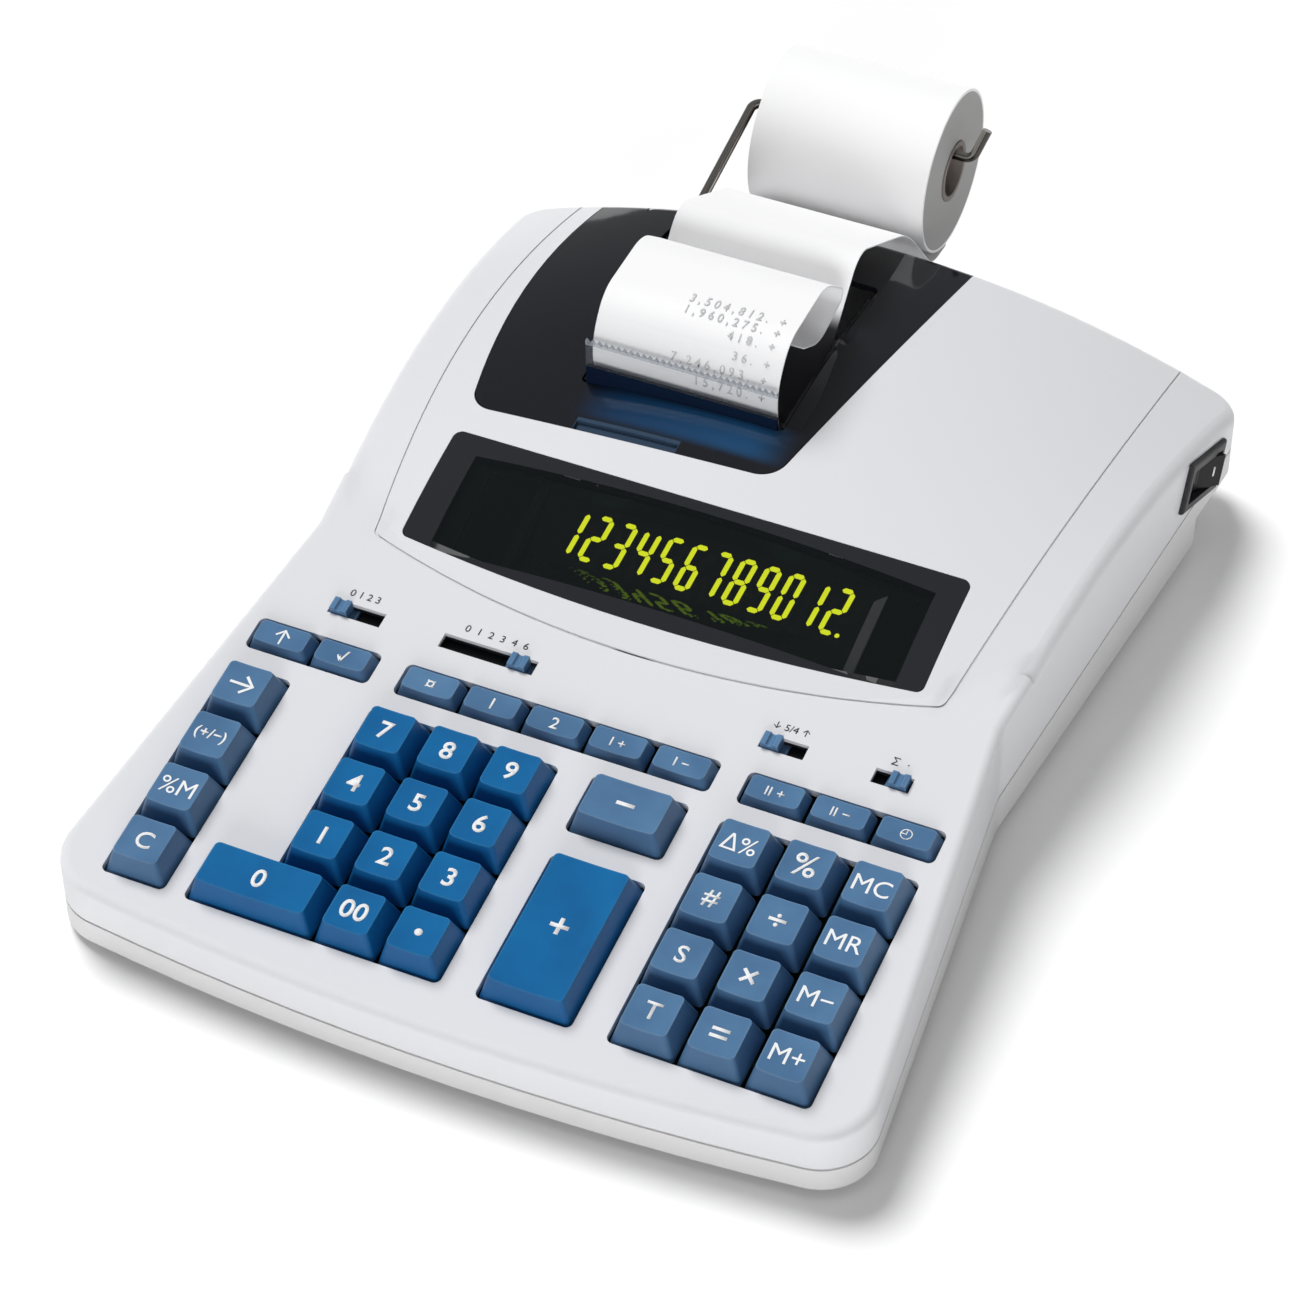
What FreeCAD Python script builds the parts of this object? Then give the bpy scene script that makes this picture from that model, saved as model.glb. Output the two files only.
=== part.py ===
"""Desktop printing calculator with a paper roll on a wire arm.

Millimetres. Z is up, Y runs from the front of the keyboard to the back, and X to the right.
The origin is on the table, under the middle of the whole calculator.
"""

import FreeCAD, Part
import math
import os
import Sketcher

Vector = FreeCAD.Vector
Placement = FreeCAD.Placement
Rotation = FreeCAD.Rotation
X_AXIS = Vector(1, 0, 0)
Y_AXIS = Vector(0, 1, 0)
Z_AXIS = Vector(0, 0, 1)

doc = FreeCAD.newDocument("PrintingCalculator")

# Driving sizes. Heights are above the underside of the casing, runs are behind the front
# line of the keys, and "level" is a height along the normal of the sloping key deck.
SIZES = (
    ("front_line_y", -176.0, "front line of the keys, from the origin"),
    ("foot_rise", 2.5, "casing underside above the table"),
    ("foot_radius", 6.5, "rubber foot"),
    ("foot_recess", 1.0, "depth of a foot in the casing"),
    ("wall", 2.5, "casing wall"),
    ("fit_gap", 0.4, "gap between separate mouldings that show a joint line"),
    ("slide_gap", 0.3, "clearance of parts that slide or lift"),
    ("bearing_gap", 0.05, "radial clearance of a pin in its hole"),
    ("deck_height", 21.9, "key deck at the front line of the keys"),
    ("deck_slope", 8.1, "slope of the key deck, degrees"),
    ("front_bow_run", -13.8, "middle of the bowed front"),
    ("front_bow_rise", 8.4, "how far the front corners stand behind the bow"),
    ("front_width", 241.4, "casing width at its front corners, before rounding"),
    ("waist_run", 131.0, "place of the waist"),
    ("waist_width", 209.8, "casing width at the waist"),
    ("rear_run", 299.0, "back of the casing"),
    ("rear_width", 238.0, "casing width at the back"),
    ("front_corner_radius", 16.0, "front corners in plan"),
    ("waist_radius", 12.0, "waist in plan"),
    ("rear_corner_radius", 10.0, "rear corners in plan"),
    ("deck_edge_radius", 3.0, "rounding of the deck's outer edge"),
    ("hump_edge_radius", 5.0, "rounding of the printer hump's outer edge"),
    ("crest_run", 224.0, "highest line of the printer hump"),
    ("crest_height", 62.3, "height of the hump on its centre line"),
    ("front_slope_radius", 250.0, "hump profile in front of the crest"),
    ("rear_slope_radius", 322.0, "hump profile behind the crest"),
    ("crown_front_run", 120.0, "where the front crown is measured"),
    ("crown_front_radius", 862.0, "side to side crown at the front of the hump"),
    ("crown_rear_run", 300.0, "where the rear crown is measured"),
    ("crown_rear_radius", 299.0, "side to side crown at the back of the hump"),
    ("parting_height", 8.5, "joint line of the two casing shells at the front"),
    ("parting_slope", 2.17, "slope of that joint line, degrees"),
    ("parting_groove", 0.5, "shadow groove along that joint line"),
    ("undercut_run", 266.0, "where the underside steps up at the back"),
    ("undercut_height", 10.0, "height of that step"),
    ("post_radius", 4.0, "screw post"),
    ("screw_bore_radius", 1.6, "screw hole in a post"),
    ("post_joint_height", 14.0, "where upper and lower screw posts meet"),
    ("key_pitch", 19.0, "key spacing"),
    ("key_gap", 0.9, "gap between neighbouring keys at their base"),
    ("opening_margin", 0.2, "deck opening beyond the key cells"),
    ("opening_radius", 2.0, "corner of a deck opening"),
    ("key_rise", 6.5, "key top above the deck"),
    ("key_skirt", 2.0, "key base below the deck"),
    ("key_wall", 1.3, "wall of a key cap"),
    ("key_travel", 3.0, "how far a key goes down"),
    ("key_corner_radius", 1.6, "upright corners of a key"),
    ("key_taper", 4.9, "how much narrower a key's top is than its base"),
    ("dish_depth", 0.45, "depth of the hollow of a key's top"),
    ("stem_side", 5.0, "key stem"),
    ("stem_reach", 9.0, "end of a key stem below the deck"),
    ("socket_wall", 1.2, "wall of a key's guide socket"),
    ("socket_level", -6.2, "mouth of a guide socket"),
    ("left_column_x", -103.65, "left column of keys"),
    ("number_pad_x", -59.4, "number keys"),
    ("operator_pad_x", 46.0, "operator and memory keys"),
    ("minus_key_x", 7.65, "left edge of the minus key's cell"),
    ("minus_key_width", 28.35, "minus key's cell"),
    ("minus_key_run", 57.6, "front of the minus key's cell"),
    ("minus_key_depth", 19.5, "minus key's cell, front to back"),
    ("plus_key_x", 8.2, "left edge of the plus key's cell"),
    ("plus_key_width", 27.5, "plus key's cell"),
    ("plus_key_depth", 49.0, "plus key's cell, front to back"),
    ("small_row_run", 83.0, "front of the row of small keys"),
    ("small_key_depth", 10.8, "small key's cell, front to back"),
    ("small_key_rise", 2.4, "small key's top above the deck"),
    ("small_key_taper", 2.7, "how much narrower a small key's top is"),
    ("edit_keys_x", -103.0, "first small key of the left pair"),
    ("tax_keys_x", -56.7, "first small key of the middle five"),
    ("mode_keys_x", 46.8, "first small key of the right three"),
    ("slot_run", 104.9, "middle line of the slide switches"),
    ("slot_width", 5.0, "slide switch slot, front to back"),
    ("knob_length", 5.2, "slide switch knob along its slot"),
    ("knob_rise", 1.8, "slide switch knob above the deck"),
    ("board_level", -13.0, "top of the circuit board"),
    ("board_thickness", 1.6, "circuit board"),
    ("board_half_width", 101.0, "half the circuit board's width"),
    ("board_front_run", -3.0, "front edge of the circuit board"),
    ("board_rear_run", 111.0, "rear edge of the circuit board"),
    ("window_thickness", 2.0, "display window"),
    ("window_half_width", 80.0, "half the display window's width"),
    ("window_front_run", 126.6, "front edge of the window on the centre line"),
    ("window_front_bow", 7.3, "how far its front corners stand back"),
    ("window_rear_run", 166.8, "rear edge of the window on the centre line"),
    ("window_rear_bow", 4.7, "how far its rear corners stand back"),
    ("window_corner_radius", 2.5, "corner of the window"),
    ("ledge_width", 3.0, "ledge that the window and cover sit on"),
    ("ledge_thickness", 2.5, "that ledge"),
    ("seam_front_half", 87.4, "half width between the hump's side seams at their front"),
    ("seam_middle_half", 96.3, "the same at run 210"),
    ("seam_rear_half", 98.8, "the same at the back"),
    ("seam_front_run", 117.8, "the seam in front of the window, on the centre line"),
    ("seam_corner_run", 131.4, "where that seam meets the side seams"),
    ("seam_corner_radius", 3.0, "rounding of that corner"),
    ("seam_width", 0.6, "seam round the hump"),
    ("seam_depth", 0.4, "depth of that seam"),
    ("tube_width", 102.0, "display tube"),
    ("tube_height", 21.0, "display tube, along its face"),
    ("tube_depth", 6.0, "display tube, through its face"),
    ("tube_centre_x", 5.0, "middle of the display tube"),
    ("tube_run", 154.2, "middle of the display tube"),
    ("tube_centre_height", 40.3, "middle of the display tube"),
    ("tube_tilt", 25.0, "lean of the display tube, degrees"),
    ("cover_wall", 2.0, "printer cover"),
    ("cover_front_run", 180.0, "front edge of the printer cover"),
    ("cover_front_left_x", -80.0, "front left corner of the cover, before rounding"),
    ("cover_front_right_x", 15.0, "front right corner of the cover, before rounding"),
    ("cover_corner_radius", 8.0, "front corners of the cover"),
    ("cover_skirt_height", 39.0, "lower edge of the cover's rear skirt"),
    ("cover_hinge_run", 296.3, "hinge of the printer cover"),
    ("cover_hinge_height", 41.0, "hinge of the printer cover"),
    ("hinge_pin_radius", 1.5, "cover hinge pin"),
    ("hinge_barrel_radius", 3.0, "barrel round that pin"),
    ("hinge_left_x", -72.0, "outer face of the cover's left hinge lug"),
    ("hinge_right_x", 23.0, "outer face of the cover's right hinge lug"),
    ("hinge_lug_width", 3.0, "hinge lugs and ears"),
    ("exit_front_run", 198.0, "front of the cover's paper opening"),
    ("exit_rear_run", 272.0, "back of the cover's paper opening"),
    ("exit_corner_radius", 2.0, "corners of that opening"),
    ("grip_left_x", -47.0, "finger grip at the front of the cover"),
    ("grip_right_x", -15.0, "finger grip at the front of the cover"),
    ("grip_run", 183.2, "back of that grip"),
    ("grip_depth", 1.2, "depth of that grip"),
    ("paper_width", 58.0, "paper"),
    ("paper_centre_x", -21.0, "middle of the paper"),
    ("paper_side_gap", 3.0, "cover opening beyond each edge of the paper"),
    ("paper_sheet", 0.3, "thickness of the modelled sheet"),
    ("roll_radius", 26.0, "paper roll"),
    ("roll_core_radius", 9.7, "outside of the roll's core"),
    ("roll_bore_radius", 8.0, "bore of the roll's core"),
    ("roll_core_proud", 0.4, "core stands out of the paper"),
    ("roll_run", 340.0, "paper roll"),
    ("roll_height", 54.0, "paper roll"),
    ("wire_radius", 1.5, "wire of the paper arm"),
    ("arm_pivot_run", 280.0, "pivot of the paper arm"),
    ("arm_pivot_height", 46.0, "pivot of the paper arm"),
    ("arm_leg_x", -59.0, "leg of the paper arm"),
    ("arm_hook_x", 14.0, "where the arm's axle turns up into its hook"),
    ("arm_hook_rise", 9.0, "height of that hook"),
    ("arm_bend_radius", 3.5, "bends of the arm's wire"),
    ("feed_roller_radius", 9.0, "rubber feed roller"),
    ("feed_shaft_radius", 2.5, "its shaft"),
    ("feed_roller_run", 213.0, "feed roller"),
    ("feed_roller_height", 38.0, "feed roller"),
    ("ink_roller_radius", 6.0, "ink roller"),
    ("ink_shaft_radius", 1.5, "its shaft"),
    ("ink_roller_run", 187.0, "ink roller"),
    ("ink_roller_height", 42.0, "ink roller"),
    ("frame_wall", 2.0, "printer frame's side plates and base"),
    ("frame_side_gap", 2.0, "side plates beyond the edges of the paper"),
    ("frame_front_run", 178.0, "front of the printer frame"),
    ("frame_rear_run", 286.0, "back of the printer frame"),
    ("frame_base_height", 6.0, "underside of the printer frame"),
    ("frame_top_height", 49.5, "top of the printer frame"),
    ("tear_top_height", 74.0, "points of the tear bar"),
    ("tear_thickness", 1.2, "tear bar"),
    ("tear_tooth_pitch", 2.0, "teeth of the tear bar"),
    ("tear_tooth_depth", 1.2, "teeth of the tear bar"),
    ("tear_hang", 11.0, "how far the tear bar reaches down from the cover's crest there"),
    ("tear_foot_length", 5.0, "feet that hold the tear bar under the cover"),
    ("tear_foot_width", 4.0, "feet that hold the tear bar under the cover"),
    ("switch_run", 266.0, "middle of the power switch"),
    ("switch_height", 27.0, "middle of the power switch"),
    ("switch_tilt", 20.0, "the power switch leans down to the back, degrees"),
    ("switch_length", 28.0, "bezel of the power switch"),
    ("switch_width", 16.0, "bezel of the power switch"),
    ("switch_depth", 16.0, "housing of the power switch"),
    ("rocker_length", 21.0, "rocker of the power switch"),
    ("rocker_width", 10.0, "rocker of the power switch"),
    ("rocker_swing", 12.0, "rocker leans this far each way, degrees"),
)

sheet = doc.addObject("Spreadsheet::Sheet", "Sizes")
for row, (alias, number, note) in enumerate(SIZES, start=1):
    sheet.set(f"A{row}", note)
    sheet.set(f"B{row}", str(number))
    sheet.setAlias(f"B{row}", alias)
doc.recompute()


def size(alias):
    return float(sheet.get(alias))


# Places on the casing

CASING = Placement(Vector(0, size("front_line_y"), size("foot_rise")), Rotation())
DECK_TURN = Rotation(X_AXIS, size("deck_slope"))
DECK_NORMAL = DECK_TURN.multVec(Z_AXIS)
FAR = 400.0
DEEP = 60.0


def deck_point(x, run, level=0.0):
    """A point on the sloping key deck, or above it, in casing coordinates."""
    start = Vector(x, 0, size("deck_height"))
    return start + DECK_TURN.multVec(Vector(0, run, level))


def deck_place(x, run, level=0.0):
    return Placement(deck_point(x, run, level), DECK_TURN)


def hump_height(run):
    """Height of the printer hump on its centre line: two arcs that meet at the crest."""
    ahead = run < size("crest_run")
    radius = size("front_slope_radius") if ahead else size("rear_slope_radius")
    away = run - size("crest_run")
    return size("crest_height") - radius + math.sqrt(radius * radius - away * away)


def crown_radius(run):
    """The crown's curvature grows evenly from the front of the hump to its back."""
    front_run, rear_run = size("crown_front_run"), size("crown_rear_run")
    front, rear = 1 / size("crown_front_radius"), 1 / size("crown_rear_radius")
    share = (run - front_run) / (rear_run - front_run)
    return 1 / (front + (rear - front) * share)


def surface_height(x, run):
    radius = crown_radius(run)
    return hump_height(run) - radius + math.sqrt(radius * radius - x * x)


# Helpers for bodies, sketches and plain solids

def new_body(label):
    body = doc.addObject("PartDesign::Body", label)
    body.Label = label
    return body


def plane_of(body, role):
    return next(item for item in body.Origin.OriginFeatures if item.Role == role)


def new_sketch(body, name, role="XY_Plane", level=None):
    """A sketch on one of the body's own planes; level is an expression for its offset."""
    sketch = body.newObject("Sketcher::SketchObject", name)
    sketch.AttachmentSupport = [(plane_of(body, role), "")]
    sketch.MapMode = "FlatFace"
    if level is not None:
        sketch.setExpression("AttachmentOffset.Base.z", level)
    doc.recompute()
    return sketch


def value_of(expression):
    return float(sheet.evalExpression(expression.replace("Sizes.", "")))


def name_constraint(sketch, constraint, name, rule):
    index = sketch.addConstraint(constraint)
    sketch.renameConstraint(index, name)
    sketch.setExpression(f"Constraints.{name}", rule)


def rounded_rectangle(sketch, width, depth, radius):
    """A rectangle with round corners, centred on the sketch's origin."""
    w, d, r = value_of(width) / 2, value_of(depth) / 2, value_of(radius)
    corners = ((w, -d, -90), (w, d, 0), (-w, d, 90), (-w, -d, 180))
    for x, y, start in corners:
        centre = Vector(x - math.copysign(r, x), y - math.copysign(r, y), 0)
        circle = Part.Circle(centre, Z_AXIS, r)
        turn = math.radians(start)
        sketch.addGeometry(Part.ArcOfCircle(circle, turn, turn + math.pi / 2))
    for first in range(4):
        second = (first + 1) % 4
        begin = sketch.Geometry[first].EndPoint
        end = sketch.Geometry[second].StartPoint
        line = sketch.addGeometry(Part.LineSegment(begin, end))
        sketch.addConstraint(Sketcher.Constraint("Tangent", first, 2, line, 1))
        sketch.addConstraint(Sketcher.Constraint("Tangent", line, 2, second, 1))
        direction = "Vertical" if first % 2 == 0 else "Horizontal"
        sketch.addConstraint(Sketcher.Constraint(direction, line))
    for other in (1, 2, 3):
        sketch.addConstraint(Sketcher.Constraint("Equal", 0, other))
    sketch.addConstraint(Sketcher.Constraint("Symmetric", 0, 3, 2, 3, -1, 1))
    name_constraint(sketch, Sketcher.Constraint("Radius", 0, r), "Corner", radius)
    across = Sketcher.Constraint("DistanceX", 6, 1, 4, 1, 2 * w)
    name_constraint(sketch, across, "Width", width)
    along = Sketcher.Constraint("DistanceY", 7, 1, 5, 1, 2 * d)
    name_constraint(sketch, along, "Depth", depth)


def centred_rectangle(sketch, width, depth):
    """A rectangle centred on the sketch's origin."""
    w, d = value_of(width) / 2, value_of(depth) / 2
    points = [Vector(i * w, j * d, 0) for i, j in ((-1, -1), (1, -1), (1, 1), (-1, 1))]
    for i in range(4):
        sketch.addGeometry(Part.LineSegment(points[i], points[(i + 1) % 4]))
    for i in range(4):
        sketch.addConstraint(Sketcher.Constraint("Coincident", i, 2, (i + 1) % 4, 1))
        direction = "Horizontal" if i % 2 == 0 else "Vertical"
        sketch.addConstraint(Sketcher.Constraint(direction, i))
    sketch.addConstraint(Sketcher.Constraint("Symmetric", 0, 1, 2, 1, -1, 1))
    name_constraint(sketch, Sketcher.Constraint("DistanceX", 0, 1, 0, 2, 2 * w), "Width", width)
    name_constraint(sketch, Sketcher.Constraint("DistanceY", 1, 1, 1, 2, 2 * d), "Depth", depth)


def circle_at(sketch, radius, x="0", y="0"):
    """A circle whose radius and middle are bound to expressions."""
    cx, cy, r = value_of(x), value_of(y), value_of(radius)
    index = sketch.addGeometry(Part.Circle(Vector(cx, cy, 0), Z_AXIS, r))
    tag = f"C{index}"
    name_constraint(sketch, Sketcher.Constraint("Radius", index, r), f"{tag}r", radius)
    if x == "0" and y == "0":
        sketch.addConstraint(Sketcher.Constraint("Coincident", index, 3, -1, 1))
        return
    across = Sketcher.Constraint("DistanceX", -1, 1, index, 3, cx)
    name_constraint(sketch, across, f"{tag}x", x)
    along = Sketcher.Constraint("DistanceY", -1, 1, index, 3, cy)
    name_constraint(sketch, along, f"{tag}y", y)


def pad(body, sketch, name, length, midplane=False, reverse=False):
    feature = body.newObject("PartDesign::Pad", name)
    feature.Profile = sketch
    feature.setExpression("Length", length)
    feature.SideType = "Symmetric" if midplane else "One side"
    feature.Reversed = reverse
    doc.recompute()
    return feature


def pocket(body, sketch, name, length, midplane=False, reverse=False):
    """A pocket that must take material away."""
    before = body.Shape.Volume
    feature = body.newObject("PartDesign::Pocket", name)
    feature.Profile = sketch
    feature.setExpression("Length", length)
    feature.SideType = "Symmetric" if midplane else "One side"
    feature.Reversed = reverse
    doc.recompute()
    if body.Shape.Volume >= before:
        raise RuntimeError(f"{name} cuts nothing")
    return feature


def new_shape(label, shape, place=CASING):
    feature = doc.addObject("Part::Feature", label)
    feature.Label = label
    feature.Shape = shape
    feature.Placement = place
    return feature


def box_between(x0, x1, y0, y1, z0, z1):
    return Part.makeBox(x1 - x0, y1 - y0, z1 - z0, Vector(x0, y0, z0))


def upright_edges(shape, points):
    """Vertical edges that stand on the given plan points."""
    found = []
    for edge in shape.Edges:
        ends = [vertex.Point for vertex in edge.Vertexes]
        if len(ends) != 2 or abs(ends[0].z - ends[1].z) < 1:
            continue
        for x, y in points:
            if all(math.hypot(end.x - x, end.y - y) < 0.01 for end in ends):
                found.append(edge)
    return found


def arc_through(first, middle, last):
    return Part.Arc(first, middle, last).toShape()


def line_between(first, last):
    return Part.makeLine(first, last)


# Outer form of the casing

def plan_prism(inset=0.0):
    """The casing's outline in plan, set in by a wall, as a tall prism."""
    front = size("front_bow_run") + inset
    corner = front + size("front_bow_rise")
    rear = size("rear_run") - inset
    half_front = size("front_width") / 2 - inset
    half_waist = size("waist_width") / 2 - inset
    half_rear = size("rear_width") / 2 - inset
    waist = size("waist_run")
    low = -DEEP

    def at(x, y):
        return Vector(x, y, low)

    edges = [
        arc_through(at(-half_front, corner), at(0, front), at(half_front, corner)),
        line_between(at(half_front, corner), at(half_waist, waist)),
        line_between(at(half_waist, waist), at(half_rear, rear)),
        line_between(at(half_rear, rear), at(-half_rear, rear)),
        line_between(at(-half_rear, rear), at(-half_waist, waist)),
        line_between(at(-half_waist, waist), at(-half_front, corner)),
    ]
    prism = Part.Face(Part.Wire(edges)).extrude(Vector(0, 0, 3 * DEEP))
    rounds = (
        (size("front_corner_radius") - inset, half_front, corner),
        (size("rear_corner_radius") - inset, half_rear, rear),
        (size("waist_radius") + inset, half_waist, waist),
    )
    for radius, x, y in rounds:
        prism = prism.makeFillet(radius, upright_edges(prism, ((x, y), (-x, y))))
    return prism


def deck_wedge(drop=0.0):
    """Everything under the sloping key deck, lowered by a wall."""
    half, ahead, behind = FAR / 2, -DEEP, 150.0
    profile = [
        Vector(-half, ahead, -DEEP),
        Vector(-half, behind, -DEEP),
        deck_point(-half, behind / math.cos(math.radians(size("deck_slope"))), 0),
        deck_point(-half, ahead, 0),
    ]
    profile = [point - Vector(0, 0, drop if point.z > -DEEP else 0) for point in profile]
    face = Part.Face(Part.makePolygon(profile + profile[:1]))
    return face.extrude(Vector(FAR, 0, 0))


def hump_section(run, drop):
    """A cross section of the hump: a crowned top over straight sides."""
    half = 150.0
    top = hump_height(run) - drop
    edge = surface_height(half, run) - drop
    left, right = Vector(-half, run, edge), Vector(half, run, edge)
    low_left, low_right = Vector(-half, run, -DEEP), Vector(half, run, -DEEP)
    edges = [
        arc_through(left, Vector(0, run, top), right),
        line_between(right, low_right),
        line_between(low_right, low_left),
        line_between(low_left, left),
    ]
    return Part.Wire(edges)


HUMP_RUNS = (100.0, 125.0, 150.0, 187.0, 224.0, 262.0, 310.0)


def hump_block(drop=0.0):
    """Everything under the crowned printer hump, lowered by a wall."""
    return Part.makeLoft([hump_section(run, drop) for run in HUMP_RUNS], True, False)


def top_rim_edges(shape, skip_run):
    """Edges between the top and the upright sides, apart from those at the given run."""
    def is_top(face):
        u0, u1, v0, v1 = face.ParameterRange
        return face.normalAt((u0 + u1) / 2, (v0 + v1) / 2).z > 0.5

    def is_side(face):
        u0, u1, v0, v1 = face.ParameterRange
        return abs(face.normalAt((u0 + u1) / 2, (v0 + v1) / 2).z) < 0.01

    rim = []
    for edge in shape.Edges:
        sides = [face for face in shape.Faces if any(edge.isSame(other) for other in face.Edges)]
        if len(sides) != 2:
            continue
        if not any(is_top(face) for face in sides) or not any(is_side(face) for face in sides):
            continue
        if all(abs(vertex.Y - skip_run) < 0.5 for vertex in edge.Vertexes):
            continue
        rim.append(edge)
    return rim


def outer_form():
    """The casing's outer form: a rounded key deck joined to a rounded hump."""
    plan = plan_prism()
    deck = plan.common(deck_wedge())
    deck = deck.makeFillet(size("deck_edge_radius"), top_rim_edges(deck, 150.0))
    hump = plan.common(hump_block())
    hump = hump.makeFillet(size("hump_edge_radius"), top_rim_edges(hump, HUMP_RUNS[0]))
    return deck.fuse(hump)


def inner_form(drop):
    """The space inside the casing, a wall further in all round."""
    plan = plan_prism(drop)
    return plan.common(deck_wedge(drop)).fuse(plan.common(hump_block(drop)))


def above_parting(drop=0.0):
    """A block above the joint line of the two shells."""
    block = box_between(-FAR / 2, FAR / 2, -DEEP, FAR, 0, 2 * DEEP)
    height = size("parting_height") - drop
    turn = Rotation(X_AXIS, size("parting_slope"))
    block.Placement = Placement(Vector(0, 0, height), turn)
    return block


# Outlines on the hump

def outline_prism(edges, corners, radius):
    prism = Part.Face(Part.Wire(edges)).extrude(Vector(0, 0, 3 * DEEP))
    if radius > 0:
        prism = prism.makeFillet(radius, upright_edges(prism, corners))
    return prism


def window_prism(grow=0.0):
    """The display window's outline, grown by a margin."""
    half = size("window_half_width") + grow
    front = size("window_front_run") - grow
    rear = size("window_rear_run") + grow
    front_corner = front + size("window_front_bow")
    rear_corner = rear + size("window_rear_bow")

    def at(x, y):
        return Vector(x, y, -DEEP)

    edges = [
        arc_through(at(-half, front_corner), at(0, front), at(half, front_corner)),
        line_between(at(half, front_corner), at(half, rear_corner)),
        arc_through(at(half, rear_corner), at(0, rear), at(-half, rear_corner)),
        line_between(at(-half, rear_corner), at(-half, front_corner)),
    ]
    corners = [(x, y) for x in (half, -half) for y in (front_corner, rear_corner)]
    return outline_prism(edges, corners, size("window_corner_radius") + grow)


def cover_prism(grow=0.0):
    """The printer cover's outline; its sides bow outwards and it is open to the back."""
    left, right = size("cover_front_left_x"), size("cover_front_right_x")
    front = size("cover_front_run")
    corner = front + 1.5
    rear = size("rear_run") + 8.0

    def at(x, y):
        return Vector(x, y, -DEEP)

    left_side = (at(left - grow, corner - grow), at(-89.6 - grow, 240.0), at(-90.0 - grow, rear))
    right_side = (at(right + grow, corner - grow), at(24.4 + grow, 228.0), at(31.5 + grow, rear))
    middle = at((left + right) / 2, front - grow)
    edges = [
        arc_through(left_side[0], middle, right_side[0]),
        arc_through(*right_side),
        line_between(right_side[2], left_side[2]),
        arc_through(left_side[2], left_side[1], left_side[0]),
    ]
    corners = ((left - grow, corner - grow), (right + grow, corner - grow))
    return outline_prism(edges, corners, size("cover_corner_radius") + grow)


def seam_outline(inset):
    """The seam line: up one side of the hump, round the front of the window and back."""
    rear = size("rear_run") + 5.0
    corner_run = size("seam_corner_run") + inset

    def at(half, y):
        return Vector(half - math.copysign(inset, half), y, -DEEP)

    front, middle, back = (size(f"seam_{place}_half") for place in ("front", "middle", "rear"))
    edges = [
        arc_through(at(-front, corner_run), Vector(0, size("seam_front_run") + inset, -DEEP),
                    at(front, corner_run)),
        arc_through(at(front, corner_run), at(middle, 210.0), at(back, rear)),
        line_between(at(back, rear), at(-back, rear)),
        arc_through(at(-back, rear), at(-middle, 210.0), at(-front, corner_run)),
    ]
    corners = [(side * (front - inset), corner_run) for side in (1, -1)]
    return outline_prism(edges, corners, size("seam_corner_radius"))


def seam_strip():
    """The seam as a thin upright ribbon."""
    return seam_outline(0.0).cut(seam_outline(size("seam_width")))


# Keys. A form is (name, cell width, cell depth, rise, taper) in expressions.

KEY_FORMS = {
    "standard": ("Sizes.key_pitch", "Sizes.key_pitch", "Sizes.key_rise", "Sizes.key_taper"),
    "wide": ("2 * Sizes.key_pitch", "Sizes.key_pitch", "Sizes.key_rise", "Sizes.key_taper"),
    "small": ("Sizes.key_pitch", "Sizes.small_key_depth", "Sizes.small_key_rise",
              "Sizes.small_key_taper"),
    "plus": ("Sizes.plus_key_width", "Sizes.plus_key_depth", "Sizes.key_rise",
             "Sizes.key_taper"),
    "minus": ("Sizes.minus_key_width", "Sizes.minus_key_depth", "Sizes.key_rise",
              "Sizes.key_taper"),
}


def faces_facing(feature, wanted):
    """Names of the flat faces whose normal passes a test."""
    names = []
    for i, face in enumerate(feature.Shape.Faces, start=1):
        if wanted(face.normalAt(0, 0)):
            names.append(f"Face{i}")
    return names


def slanted_edges(feature):
    """Names of the edges that run from a cap's base to its top."""
    names = []
    for i, edge in enumerate(feature.Shape.Edges, start=1):
        low, high = sorted(vertex.Z for vertex in edge.Vertexes)
        if high - low > 0.5:
            names.append(f"Edge{i}")
    return names


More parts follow.
